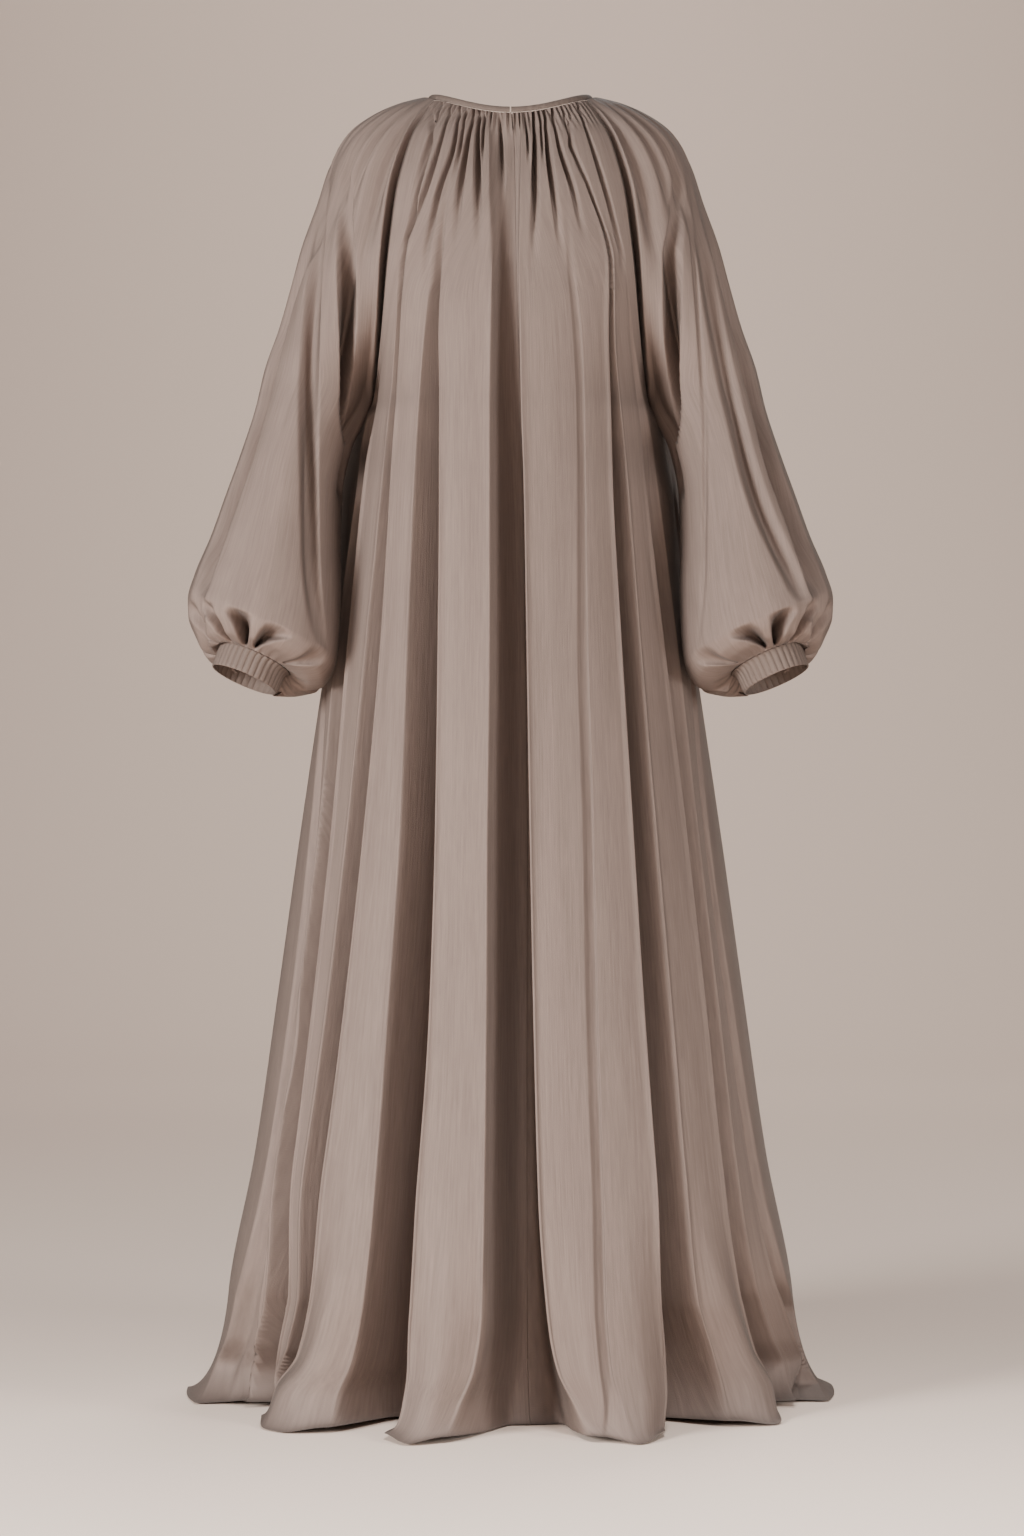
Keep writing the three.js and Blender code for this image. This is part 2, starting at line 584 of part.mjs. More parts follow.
// Half a front: side -1 is the wearer's right, from the side seam to the centre; 1 is the left.
function frontHalf(side) {
  const [start, end] = side < 0 ? [-1, 0] : [0, 1];
  const sharesOf = (drop) => {
    if (isGatherRow(drop)) return evenShares(start, end, (FRONT_GATHERS / 2) * FRONT_GATHER_COLUMNS);
    const folds = bodyFoldsAt(-1, drop);
    const centre = folds.findIndex((fold) => fold.name === "centre");
    const half = { ...folds[centre], stops: DEEP_FOLD_STOPS.filter((stop) => stop * side > 0) };
    const own = side < 0 ? [...folds.slice(0, centre), half] : [half, ...folds.slice(centre + 1)];
    return foldShares(start, end, own, BODY_BETWEEN);
  };
  const sheet = sheetOf(panel(BODY_ROWS, sharesOf, (share, drop) => bodyPoint(-1, share, drop)));
  sheet.ease = () => easeSides(sheet, side < 0 ? seamEase : slitEase, side < 0 ? slitEase : seamEase);
  return sheet;
}

function back() {
  const sharesOf = (drop) =>
    isGatherRow(drop)
      ? evenShares(1, -1, BACK_GATHERS * BACK_GATHER_COLUMNS)
      : foldShares(-1, 1, bodyFoldsAt(1, drop), BODY_BETWEEN).reverse();
  const sheet = sheetOf(panel(BODY_ROWS, sharesOf, (share, drop) => bodyPoint(1, share, drop), -1));
  sheet.ease = () => easeSides(sheet, seamEase, seamEase);
  return sheet;
}

function sleeve(side) {
  const drops = [...GATHER_ROWS, ...CHEST_ROWS, ...SLEEVE_ROWS, ...PUFF_ROWS];
  const closedFrom = drops.indexOf(UNDERARM_DROP);
  const sharesOf = (drop) => {
    if (isGatherRow(drop)) return evenShares(-1, 1, SLEEVE_GATHERS * SLEEVE_GATHER_COLUMNS);
    if (PUFF_ROWS.includes(drop)) return evenShares(-1, 1, CUFF_GATHERS * SLEEVE_GATHER_COLUMNS);
    return foldShares(-1, 1, sleeveFoldsAt(drop), SLEEVE_BETWEEN);
  };
  const grid = panel(drops, sharesOf, (share, drop) => {
    const point = sleevePoint(share, drop);
    point.x *= side;
    return point;
  });
  const sheet = side > 0 ? sheetOf(grid, closedFrom) : flipped(sheetOf(grid, closedFrom));
  sheet.ease = () => easeSides(sheet, seamEase, seamEase);
  return sheet;
}

// A ring with a solid section: at each station four corners, top outer, bottom outer, bottom inner,
// top inner. An open ring is capped at its ends.
function ringGeometry(stations, closed) {
  const count = stations.length;
  const triangles = [];
  for (let s = 0; s < (closed ? count : count - 1); s += 1) {
    const next = ((s + 1) % count) * 4;
    for (let c = 0; c < 4; c += 1) {
      const a = s * 4 + c;
      const b = s * 4 + ((c + 1) % 4);
      const d = next + c;
      const e = next + ((c + 1) % 4);
      triangles.push(a, b, d, b, e, d);
    }
  }
  if (!closed) {
    const end = (count - 1) * 4;
    triangles.push(0, 2, 1, 0, 3, 2, end, end + 1, end + 2, end, end + 2, end + 3);
  }
  const geometry = new THREE.BufferGeometry();
  const positions = stations.flat().flatMap((p) => p.toArray());
  geometry.setAttribute("position", new THREE.Float32BufferAttribute(positions, 3));
  geometry.setIndex(triangles);
  geometry.computeVertexNormals();
  return geometry;
}

// The bound neckband: a narrow strip round the neckline whose ends meet at the centre front
function neckbandGeometry() {
  const endGap = (0.5 * degrees);
  const stations = Array.from({ length: BAND_STATIONS + 1 }, (_, i) => {
    const angle = lerp(endGap, FULL_TURN - endGap, i / BAND_STATIONS);
    const outward = new THREE.Vector2(Math.sin(angle) / NECK_HALF_WIDTH, -Math.cos(angle) / NECK_HALF_DEPTH);
    outward.normalize();
    const corner = (out, down) => {
      const drop = down ? BAND_HEIGHT : 0;
      return new THREE.Vector3(
        NECK_HALF_WIDTH * Math.sin(angle) + outward.x * (out + bandSlope(drop)),
        -NECK_HALF_DEPTH * Math.cos(angle) + outward.y * (out + bandSlope(drop)),
        neckHeight(angle) - drop,
      );
    };
    return [corner(0.6, false), corner(0.6, true), corner(0.6 - BAND_CLOTH, true), corner(0.6 - BAND_CLOTH, false)];
  });
  return ringGeometry(stations, false);
}

// The band leans out with the cloth below it.
function bandSlope(drop) {
  return drop * 0.45;
}

// The elastic cuff: a short ribbed tube on the sleeve's last two rings
function cuffGeometry(side) {
  const count = CUFF_RIBS * 2;
  const stations = Array.from({ length: count }, (_, i) => {
    const share = 1 - (2 * i) / count;
    const rib = i % 2 ? 0 : 0.9;
    const corner = (drop, inset) => {
      const ring = sleeveRing(drop);
      const turn = share * ring.span;
      const x = ring.centreX + (ring.halfWidth - inset) * Math.cos(turn);
      const y = SLEEVE.midY(drop) + (ring.halfDepth - inset) * Math.sin(turn);
      const outward = (Math.cos(turn) + 1) / 2;
      const z = lerp(SLEEVE.seamZ(drop), SLEEVE.outZ(drop), outward) - SLEEVE.frontLift(drop) * Math.sin(turn);
      return new THREE.Vector3(side * x, y, z);
    };
    return [
      corner(CUFF_TOP, rib),
      corner(CUFF_BOTTOM, rib),
      corner(CUFF_BOTTOM, CUFF_CLOTH),
      corner(CUFF_TOP, CUFF_CLOTH),
    ];
  });
  return ringGeometry(side > 0 ? stations.reverse() : stations, true);
}

const crepe = new THREE.MeshStandardMaterial({ color: 0xa39489, roughness: 0.72, metalness: 0 });
const bandCrepe = new THREE.MeshStandardMaterial({ color: 0x97887e, roughness: 0.78, metalness: 0 });

const group = new THREE.Group();
function add(name, geometry, material) {
  const mesh = new THREE.Mesh(geometry, material);
  mesh.name = name;
  group.add(mesh);
}

const sheets = {
  front_right: frontHalf(-1),
  front_left: frontHalf(1),
  back: back(),
  sleeve_right: sleeve(-1),
  sleeve_left: sleeve(1),
};
shareNormals(Object.values(sheets));
for (const [name, sheet] of Object.entries(sheets)) {
  sheet.ease();
  add(name, thicken(sheet, CLOTH), crepe);
}
add("neckband", neckbandGeometry(), bandCrepe);
add("cuff_right", cuffGeometry(-1), bandCrepe);
add("cuff_left", cuffGeometry(1), bandCrepe);

export default group;
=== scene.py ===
# %% [markdown]
# # A gathered abaya, standing as if someone wore it
# An abaya like this is cut from a light crepe that hangs straight down from the neck. Two front
# panels, a back and two raglan sleeves are gathered into one narrow neckband, and the sleeves are
# gathered again into elastic cuffs. This lesson builds the same pieces in Blender, each as a thin
# sheet whose points come from a few short tables of measurements.

# %% [markdown]
# ## Start from the measured model
# The frame is the plain solid model of the garment.

# %% Load the frame
import math

import bpy
import numpy as np
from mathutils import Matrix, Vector


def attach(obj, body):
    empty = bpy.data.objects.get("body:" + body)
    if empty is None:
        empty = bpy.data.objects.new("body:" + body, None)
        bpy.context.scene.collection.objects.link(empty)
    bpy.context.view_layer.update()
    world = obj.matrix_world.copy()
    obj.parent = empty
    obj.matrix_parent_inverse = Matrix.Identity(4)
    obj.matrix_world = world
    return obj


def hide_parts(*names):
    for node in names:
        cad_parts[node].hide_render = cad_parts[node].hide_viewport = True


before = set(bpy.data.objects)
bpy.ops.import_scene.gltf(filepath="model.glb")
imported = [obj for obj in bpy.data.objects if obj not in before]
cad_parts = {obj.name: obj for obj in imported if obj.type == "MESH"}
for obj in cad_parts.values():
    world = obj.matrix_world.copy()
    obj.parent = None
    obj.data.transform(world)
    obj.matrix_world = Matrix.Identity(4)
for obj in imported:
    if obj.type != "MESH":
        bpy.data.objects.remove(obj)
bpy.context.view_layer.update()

# %% [markdown]
# ## Sizes
# Everything is in millimetres, as a pattern cutter would note it, and turned into metres only when
# a mesh is made. A place on the garment is a drop, measured down the cloth from the sides of the
# neck, and a share, which runs from -1 to 1 across a panel.

# %% Sizes
MM_IN_A_METRE = 1000
FLOOR_DROP = 1457
NECK_HALF_WIDTH = 91
NECK_HALF_DEPTH = 72
NECK_DIP_FRONT = 24
NECK_DIP_BACK = 6
NECK_DIP_POWER = 2.5
NECK_DIP_REACH = 150
RAGLAN_ANGLE = 61.5
UNDERARM_DROP = 350
HEM_SWEEP_DROP = 1340
HEM_SWEEP_LENGTH = 130
HEM_SWEEP_OUT = 36
HEM_DROP = HEM_SWEEP_DROP + HEM_SWEEP_LENGTH
BAND_HEIGHT = 6.5
CUFF_TOP = 696
CUFF_BOTTOM = 724
SEAM_FLAT = 18
BODY_SINK_WIDTH = 4
SLEEVE_SINK_WIDTH = 5
CLOTH = 1.4
print("neck to floor:", FLOOR_DROP, "mm, neck opening:", 2 * NECK_HALF_WIDTH, "mm wide")

# %% [markdown]
# ## Smooth curves through a few numbers
# Each table holds a handful of measurements at chosen drops. A smooth curve through them, one that
# never swings past its points, gives every row in between, so a panel can be as fine as we like.

# %% Curves and tables
def through(xs, ys):
    xs, ys = np.array(xs, float), np.array(ys, float)
    slopes = np.diff(ys) / np.diff(xs)
    before, after = np.append(slopes[:1], slopes), np.append(slopes, slopes[-1:])
    same_way = before * after > 0
    total = np.where(same_way, before + after, 1)
    tangents = np.where(same_way, 2 * before * after / total, 0)

    def curve(x):
        x = np.clip(x, xs[0], xs[-1])
        i = np.clip(np.searchsorted(xs, x, side="right") - 1, 0, len(xs) - 2)
        span = xs[i + 1] - xs[i]
        t = (x - xs[i]) / span
        ease = t * t * (3 - 2 * t)
        bend = t * (1 - t) * span * ((1 - t) * tangents[i] - t * tangents[i + 1])
        return ys[i] * (1 - ease) + ys[i + 1] * ease + bend

    return curve


def table(columns, data):
    drops = [row[0] for row in data]
    return {name: through(drops, [row[k + 1] for row in data]) for k, name in enumerate(columns[1:])}


def rows(columns, data):
    return [dict(zip(columns, row)) for row in data]


def smooth(x, start, end):
    t = np.clip((x - start) / (end - start), 0, 1)
    return t * t * (3 - 2 * t)


def dimple(t):
    """A round hollow: 1 in its middle, where t is 0, and 0 at its edges, where t is -1 or 1."""
    return 1 - smooth(np.abs(t), 0, 1)


print("a quarter of the way along a smooth step:", smooth(0.25, 0, 1))

# %% [markdown]
# ## The body before its folds
# Seen from above, a panel is an arc that bulges from seam to seam. These tables give its half
# width and depth at each drop. Above the underarm its edges are the raglan seams, and below it the
# side seams. A sleeve's rings are given by the point on the seam side, the outer point, the middle's
# depth and the half depth; span is how far a ring reaches round, 180 degrees once it is closed.

# %% Body outline
BODY = table(["drop", "half_width", "front", "back", "arc", "side_y"], [
    [0, 0, 72, 72, RAGLAN_ANGLE, 0],
    [50, 0, 92, 84, 57, 0],
    [116, 0, 112, 100, 53, 0],
    [205, 0, 130, 114, 57, 0],
    [252, 0, 139, 120, 64, 0],
    [300, 0, 145, 124, 76, 0],
    [UNDERARM_DROP, 156, 151, 128, 90, -12],
    [400, 169, 158, 136, 90, 6],
    [455, 189, 166, 143, 90, 24],
    [560, 199, 182, 160, 90, 34],
    [680, 217, 204, 179, 90, 34],
    [850, 241, 236, 208, 90, 24],
    [1020, 264, 267, 236, 90, 12],
    [1189, 288, 297, 264, 90, 5],
    [HEM_SWEEP_DROP, 317, 322, 289, 90, 2],
    [HEM_DROP, 328, 332, 300, 90, 0],
])
SLEEVE_RINGS = ["drop", "seam_x", "seam_z", "out_x", "out_z", "mid_y", "half_depth", "span", "front_lift"]
SLEEVE = table(SLEEVE_RINGS, [
    [0, 80, 0, 91, 0, 0, 72, 28.5, 0],
    [25, 97, -25, 125, -8, 0, 84, 38, 0],
    [50, 110, -50, 153, -20, 0, 92, 45, 0],
    [82, 120, -82, 183, -42, 0, 97, 50, 0],
    [116, 128, -116, 203, -76, 0, 99, 54, 0],
    [160, 134, -160, 218, -122, -2, 93, 63, 0],
    [205, 139, -205, 235, -170, -4, 82, 88, 0],
    [252, 143, -252, 247, -215, -6, 77, 117, 0],
    [300, 148, -300, 260, -262, -9, 76, 148, 0],
    [UNDERARM_DROP, 156, -350, 277, -312, -12, 76, 180, 0],
    [400, 178, -400, 286, -355, -24, 76, 180, 0],
    [455, 188, -455, 302, -408, -38, 77, 180, 0],
    [510, 189, -510, 318, -455, -48, 79, 180, 0],
    [560, 188, -560, 333, -500, -60, 80, 180, 0],
    [605, 189, -605, 350, -543, -70, 80, 180, 4],
    [640, 192, -638, 357, -572, -77, 78, 180, 14],
    [662, 199, -655, 356, -592, -80, 74, 180, 24],
    [676, 209, -663, 348, -612, -82, 67, 180, 28],
    [684, 221, -664, 340, -626, -82, 59, 180, 27],
    [690, 233, -660, 331, -629, -81, 50, 180, 21],
    [CUFF_TOP, 244, -653, 321, -620, -80, 41, 180, 8],
    [CUFF_BOTTOM, 258, -674, 330, -646, -87, 38, 180, 8],
])
SIDE_TUCK = table(["drop", "out", "back"], [
    [UNDERARM_DROP, 0, 0],
    [400, 14, 40],
    [455, 6, 34],
    [560, 3, 20],
    [680, 0, 8],
    [850, 0, 0],
])
print("half width at the underarm:", float(BODY["half_width"](UNDERARM_DROP)), "mm")

# %% [markdown]
# ## Where a panel runs
# The neckline dips at the front and a little at the back, and the dip has levelled out some way
# down. The cloth falls straight until it nears the floor, where it turns outwards along a quarter
# of an ellipse. Under the arms the side of the body is tucked back, to leave room for the sleeve.

# %% Outline of a panel
SIDE_TUCK_POWER = 4


def neck_height(angle):
    dip = np.where(np.cos(angle) > 0, NECK_DIP_FRONT, NECK_DIP_BACK)
    return -dip * np.abs(np.cos(angle)) ** NECK_DIP_POWER


def levelled(drop):
    return 1 - smooth(drop, 0, NECK_DIP_REACH)


def fall_of(drop):
    """Height of the body at a drop, and how far it has swept outwards."""
    turn = np.clip((drop - HEM_SWEEP_DROP) / HEM_SWEEP_LENGTH, 0, 1) * math.pi / 2
    height = FLOOR_DROP - HEM_SWEEP_DROP - CLOTH
    z = -np.minimum(drop, HEM_SWEEP_DROP) - height * np.sin(turn)
    return z, HEM_SWEEP_OUT * (1 - np.cos(turn))


def half_width_at(drop):
    width = np.where(drop < UNDERARM_DROP, SLEEVE["seam_x"](drop), BODY["half_width"](drop))
    return width + fall_of(drop)[1]


def seam_y(face, drop):
    half_depth = SLEEVE["half_depth"](drop) * np.sin(np.radians(SLEEVE["span"](drop)))
    raglan = SLEEVE["mid_y"](drop) + face * half_depth
    return np.where(drop < UNDERARM_DROP, raglan, BODY["side_y"](drop))


def outline(face, angle, drop):
    """A panel's plan at a drop: face -1 is the front, 1 the back; angle is 0 at its middle."""
    arc = np.radians(BODY["arc"](drop))
    share = (np.cos(angle) - np.cos(arc)) / (1 - np.cos(arc))
    crown = face * (BODY["front" if face < 0 else "back"](drop) + fall_of(drop)[1])
    edge = seam_y(face, drop)
    at_side = np.where(drop < UNDERARM_DROP, 0, np.clip(1 - share, 0, 1) ** SIDE_TUCK_POWER)
    x = half_width_at(drop) * np.sin(angle) / np.sin(arc) + np.sign(angle) * SIDE_TUCK["out"](drop) * at_side
    return x, edge + (crown - edge) * share + SIDE_TUCK["back"](drop) * at_side


print("hem:", round(2 * float(half_width_at(HEM_DROP))), "mm wide")

# %% [markdown]
# ## The folds
# Crepe gathered at the neck opens into deep folds on its way down, and no two are alike. A fold is
# a valley between two lips. Each row below gives where its left and right lips lie, seen from the
# front, and how deep it is, at the drops in FOLD_DROPS. A crisp lip (1) turns under sharply like
# the edge of a pleat, and a soft one (0) slopes in. Lean pushes the valley's floor sideways, under
# one lip: that is why one side of a fold is darker. Its two values are for the chest and the hem.

# %% Tables of folds
FOLD_DROPS = [60, 120, 203, 280, 357, 445, 620, 813, 1023, 1209, 1325, 1373, 1407, HEM_DROP]
FOLD_COLUMNS = ["name", "left", "right", "depth", "crisp_left", "crisp_right", "lean"]
FRONT_FOLDS = rows(FOLD_COLUMNS, [
    ["right side",
     [-103, -121, -136, -149, -165, -188, -208, -222, -244, -272, -300, -314, -330, -346],
     [-102, -120, -135, -148, -164, -186, -203, -212, -233, -258, -280, -296, -316, -334],
     [0, 0, 0, 0, 0, 2, 8, 12, 15, 17, 20, 22, 24, 26], 0, 1, [0.2, 0]],
    ["right outer",
     [-100, -117, -133, -144, -157, -169, -193, -209, -233, -257, -276, -294, -314, -331],
     [-98, -115, -131, -142, -149, -162, -179, -194, -215, -237, -255, -277, -299, -315],
     [0, 0, 0, 0, 10, 36, 56, 64, 68, 70, 70, 70, 70, 70], 0.7, 1, [0.1, 0.1]],
    ["right inner",
     [-92, -106, -122, -127, -133, -141, -158, -176, -199, -225, -244, -266, -294, -309],
     [-86, -100, -117, -122, -126, -131, -141, -157, -179, -203, -223, -243, -274, -292],
     [10, 12, 12, 13, 20, 38, 60, 72, 78, 80, 82, 82, 82, 82], 0.5, 1, [0.2, 0.15]],
    ["right front",
     [-64, -74, -86, -94, -100, -105, -112, -118, -131, -144, -162, -176, -190, -197],
     [-58, -67, -76, -78, -77, -77, -78, -80, -86, -99, -110, -117, -129, -152],
     [0, 1, 9, 26, 56, 74, 92, 100, 104, 106, 106, 106, 106, 106], 0.35, 1, [0.3, 0]],
    ["centre",
     [-23.5, -23, -20, -21, -22, -22, -22, -24, -25, -27, -30, -36, -44, -48],
     [11.5, 10.5, 9, 10, 11, 14, 17, 20, 24, 29, 39, 48, 60, 68],
     [10, 13, 18, 26, 34, 42, 52, 64, 76, 88, 96, 100, 102, 106], 1, 1, [0.3, 0.2]],
    ["left crease",
     [45, 58, 61, 67, 71, 72, 71, 76, 79, 85, 87, 93, 100, 104],
     [50, 63, 69, 78, 81, 82, 84, 89, 93, 98, 101, 106, 116, 125],
     [0, 0, 1, 2, 2, 3, 3, 4, 4, 5, 5, 5, 5, 5], 0, 1, [0.3, 0.2]],
    ["left front",
     [64, 85, 108, 107, 109, 111, 120, 131, 143, 156, 166, 176, 184, 188],
     [70, 91, 112, 113, 119, 127, 140, 155, 172, 187, 206, 227, 237, 243],
     [5, 9, 22, 36, 48, 58, 70, 80, 90, 98, 104, 107, 108, 110], 1, 1, [-0.2, -0.2]],
    ["left outer",
     [84, 104, 125, 132, 141, 149, 168, 190, 212, 231, 258, 281, 305, 316],
     [86, 106, 127, 136, 150, 163, 185, 205, 228, 249, 280, 306, 326, 336],
     [0, 0, 0, 2, 8, 18, 34, 44, 52, 58, 62, 64, 64, 64], 1, 0.2, [-0.25, -0.2]],
    ["left side",
     [100, 119, 133, 145, 159, 180, 198, 212, 237, 264, 293, 316, 332, 342],
     [102, 121, 135, 147, 160, 184, 204, 219, 247, 277, 307, 325, 340, 351],
     [0, 0, 0, 0, 0, 2, 8, 11, 14, 16, 20, 22, 24, 26], 1, 0, [-0.2, 0]],
])
BACK_FOLDS = rows(FOLD_COLUMNS, [
    ["right side",
     [-109, -126, -141, -155, -171, -188, -213, -242, -276, -308, -330, -342, -350, -362],
     [-103, -118, -133, -144, -157, -176, -198, -222, -250, -280, -299, -308, -316, -330],
     [0, 0, 0, 0, 3, 8, 16, 22, 28, 34, 38, 41, 42, 44], 0, 1, [0.2, 0]],
    ["right outer",
     [-94, -107, -120, -128, -138, -147, -166, -190, -217, -243, -264, -272, -280, -294],
     [-82, -93, -106, -115, -121, -128, -143, -161, -182, -204, -220, -228, -234, -248],
     [4, 6, 7, 12, 20, 28, 40, 50, 58, 68, 74, 77, 79, 82], 0, 1, [0.35, 0.2]],
    ["right middle",
     [-59, -65, -73, -79, -87, -93, -107, -122, -139, -157, -171, -176, -181, -190],
     [-45, -51, -59, -66, -71, -75, -82, -90, -101, -112, -120, -124, -127, -134],
     [0, 0, 3, 12, 20, 30, 48, 60, 70, 82, 90, 94, 96, 100], 1, 0.6, [-0.25, -0.1]],
    ["right back",
     [-28, -30, -33, -34, -37, -40, -46, -55, -62, -69, -75, -78, -80, -85],
     [-16, -18, -21, -23, -24, -25, -26, -29, -32, -36, -38, -40, -40, -42],
     [4, 6, 7, 10, 15, 20, 34, 44, 52, 60, 66, 69, 71, 74], 0.6, 1, [0.3, 0.1]],
    ["centre",
     [-1, 0, 2, 3, 3, 3, 1, 0, 0, -1, -2, -2, -2, -3],
     [13, 14, 16, 17, 20, 25, 31, 36, 41, 46, 50, 51, 52, 55],
     [0, 0, 3, 12, 22, 32, 50, 64, 76, 88, 98, 102, 106, 110], 1, 1, [0.2, 0.1]],
    ["left back",
     [34, 41, 49, 54, 58, 62, 67, 74, 83, 91, 98, 101, 104, 109],
     [46, 53, 61, 66, 73, 77, 89, 102, 117, 131, 142, 146, 150, 158],
     [5, 7, 9, 12, 19, 26, 40, 50, 58, 68, 76, 79, 82, 86], 1, 0, [-0.35, -0.2]],
    ["left middle",
     [60, 72, 85, 92, 101, 106, 119, 134, 151, 169, 183, 188, 194, 204],
     [72, 84, 97, 106, 118, 126, 146, 166, 190, 213, 233, 240, 246, 259],
     [0, 0, 2, 8, 18, 28, 46, 58, 68, 78, 86, 90, 92, 96], 0.7, 1, [0.3, 0.1]],
    ["left side",
     [100, 114, 128, 139, 152, 166, 186, 210, 240, 267, 287, 294, 301, 315],
     [108, 122, 136, 149, 166, 180, 206, 234, 268, 298, 323, 332, 340, 354],
     [0, 0, 0, 0, 5, 11, 24, 32, 38, 42, 46, 48, 49, 51], 1, 0, [-0.2, 0]],
])
FOLDS = {-1: FRONT_FOLDS, 1: BACK_FOLDS}
for fold in FRONT_FOLDS + BACK_FOLDS:
    for column in ("left", "right", "depth"):
        fold[column + "_at"] = through(FOLD_DROPS, fold[column])
RAGLAN_SINK = through([0, 30, 60, 120, 205, 270, 315, 340, UNDERARM_DROP], [0, 5, 9, 14, 21, 24, 18, 6, 0])
print(len(FRONT_FOLDS), "folds at the front,", len(BACK_FOLDS), "at the back")

# %% [markdown]
# ## Lips and the hem
# A crisp lip stands up a little, like the edge of a pleat, and the wall beside it turns under. Near
# the floor the folds change: the lips go soft, the valleys widen and get flat floors, the cloth
# rounds away at each lip, and the hem lifts a little there. Pairs are where a change starts and
# ends, as drops, or for the two named DEPTHS as depths of the fold.

# %% Sizes of lips and hem
LIP_RAISE = 2.2
LIP_WIDTH = 2.6
LIP_OFFSET = 1.2
LIP_DEPTHS = (10, 30)
LIP_TURN_UNDER = 0.25
FOLD_OPENS_BY = 60
LEAN_CHANGES = (600, 1300)
HEM_SOFTENS = (HEM_SWEEP_DROP + 20, HEM_DROP - 10)
HEM_WIDENS = 0.45
HEM_FLAT = 0.5
HEM_FLATTENS = (HEM_SWEEP_DROP - 90, HEM_DROP)
HEM_ROUND = 30
HEM_ROUNDS = (HEM_SWEEP_DROP - 160, HEM_DROP)
HEM_ROUND_DEPTHS = (20, 60)
HEM_ROUND_INSIDE = 12
HEM_ROUND_REACH = 46
HEM_LIFT = 6
HEM_LIFTS = (HEM_DROP - 75, HEM_DROP)
HEM_LIFT_INSIDE = 30
print("folds change near the hem from a drop of", HEM_ROUNDS[0], "mm on")

# %% [markdown]
# ## The gathers at the neck
# A gathered edge has two kinds of pleat: a tight even ripple right under the band, where the
# running stitch draws the cloth up, and a few longer pleats that carry on down until the cloth has
# room to lie flat. The long ones are placed one by one, and the ripple is even.

# %% Tables of gathers
GATHER_DROPS = [8, 60, 120, 190]
GATHER_COLUMNS = ["x", "until", "half", "depth"]
FRONT_GATHERS = rows(GATHER_COLUMNS, [
    [[-77, -92, -105, -120], 150, 4.5, 9],
    [[-67, -79, -94.5, -121], 230, 4.5, 12],
    [[-57, -63.5, -79, -93], 250, 4.5, 12],
    [[-50, -56, -64, -76], 120, 4, 8],
    [[-41, -49, -56, -60], 200, 5, 13],
    [[-35, -37, -36, -34], 205, 5, 13],
    [[-29, -31, -30, -30], 95, 3.5, 8],
    [[-11.5, -12.7, -12.5, -12], 140, 4, 9],
    [[17, 20, 21, 21], 90, 3.5, 8],
    [[26, 28, 28, 26], 225, 5, 13],
    [[33, 36, 39, 43], 90, 3.5, 8],
    [[39, 42, 48, 56], 205, 5, 13],
    [[47, 55, 70, 84], 190, 5, 12],
    [[58, 69, 85, 100], 110, 4, 7],
    [[75, 90, 106, 123], 230, 4.5, 12],
])
BACK_GATHERS = rows(GATHER_COLUMNS, [
    [[-80, -96, -109, -121], 150, 4.5, 9],
    [[-69, -83, -98, -112], 200, 4.5, 11],
    [[-56, -69, -82, -92], 180, 5, 12],
    [[-45, -54, -62, -70], 100, 4, 8],
    [[-33, -40, -44, -46], 210, 5, 13],
    [[-14, -16, -17, -18], 170, 5, 11],
    [[-5, -5, -5, -5], 90, 4, 8],
    [[20, 24, 27, 29], 220, 5, 13],
    [[31, 36, 40, 42], 110, 4, 8],
    [[48, 60, 70, 76], 190, 5, 12],
    [[61, 75, 88, 98], 140, 4.5, 9],
    [[75, 92, 107, 118], 200, 4.5, 11],
])
GATHERS = {-1: FRONT_GATHERS, 1: BACK_GATHERS}
for gather in FRONT_GATHERS + BACK_GATHERS:
    gather["x_at"] = through(GATHER_DROPS, gather["x"])
RIPPLE = {"count": 36, "depth": 3.6, "from": 8, "until": 44}
GATHER_CRISP = 0.6
GATHER_EDGE = 0.95
GATHER_WIDENS = (10, 110)
GATHER_OPENS_BY = 60
GATHER_AT_BAND = 0.35
GATHER_FADES_FROM = 0.3
print(len(FRONT_GATHERS), "long gathers at the front,", len(BACK_GATHERS), "at the back")

# %% [markdown]
# ## Finding a fold on the outline
# The tables say where a lip is seen from the front. These helpers turn that into an angle on the
# panel's arc, and say how far a valley is pressed in at any place between its lips.

# %% Folds on the outline
MOST_SIDEWAYS = 0.995
SMALL_TURN = 0.01
LEAST_HALF = 1e-3


def place_of(face, x, drop):
    """Angle of a line that is seen from the front at x, and the cloth's length per radian there."""
    arc = np.radians(BODY["arc"](drop))
    middle = np.arcsin(np.clip(x * np.sin(arc) / half_width_at(drop), -MOST_SIDEWAYS, MOST_SIDEWAYS))
    x0, y0 = outline(face, middle, drop)
    x1, y1 = outline(face, middle + SMALL_TURN, drop)
    return middle, np.hypot(x1 - x0, y1 - y0) / SMALL_TURN


def span_of(face, fold, drop):
    """A fold's middle angle, its half width as an angle, and that half width in millimetres."""
    first, _ = place_of(face, fold["left_at"](drop), drop)
    last, length = place_of(face, fold["right_at"](drop), drop)
    widened = 1 + HEM_WIDENS * smooth(drop, HEM_SWEEP_DROP, HEM_DROP)
    half = np.maximum((last - first) / 2, LEAST_HALF) * widened
    return (first + last) / 2, half, half * length


def press_of(t, crisp_left, crisp_right, crisp, flat=0):
    """How far a valley is pressed in across its width, 1 on its floor; t is -1 and 1 at its lips."""
    sharpness = np.where(t < 0, crisp_left, crisp_right) * crisp
    inside = np.clip(np.abs(t), 0, 1)
    soft, sharp = 1 - smooth(inside, flat, 1), 1 - inside ** 3
    return soft + (sharp - soft) * sharpness, sharpness


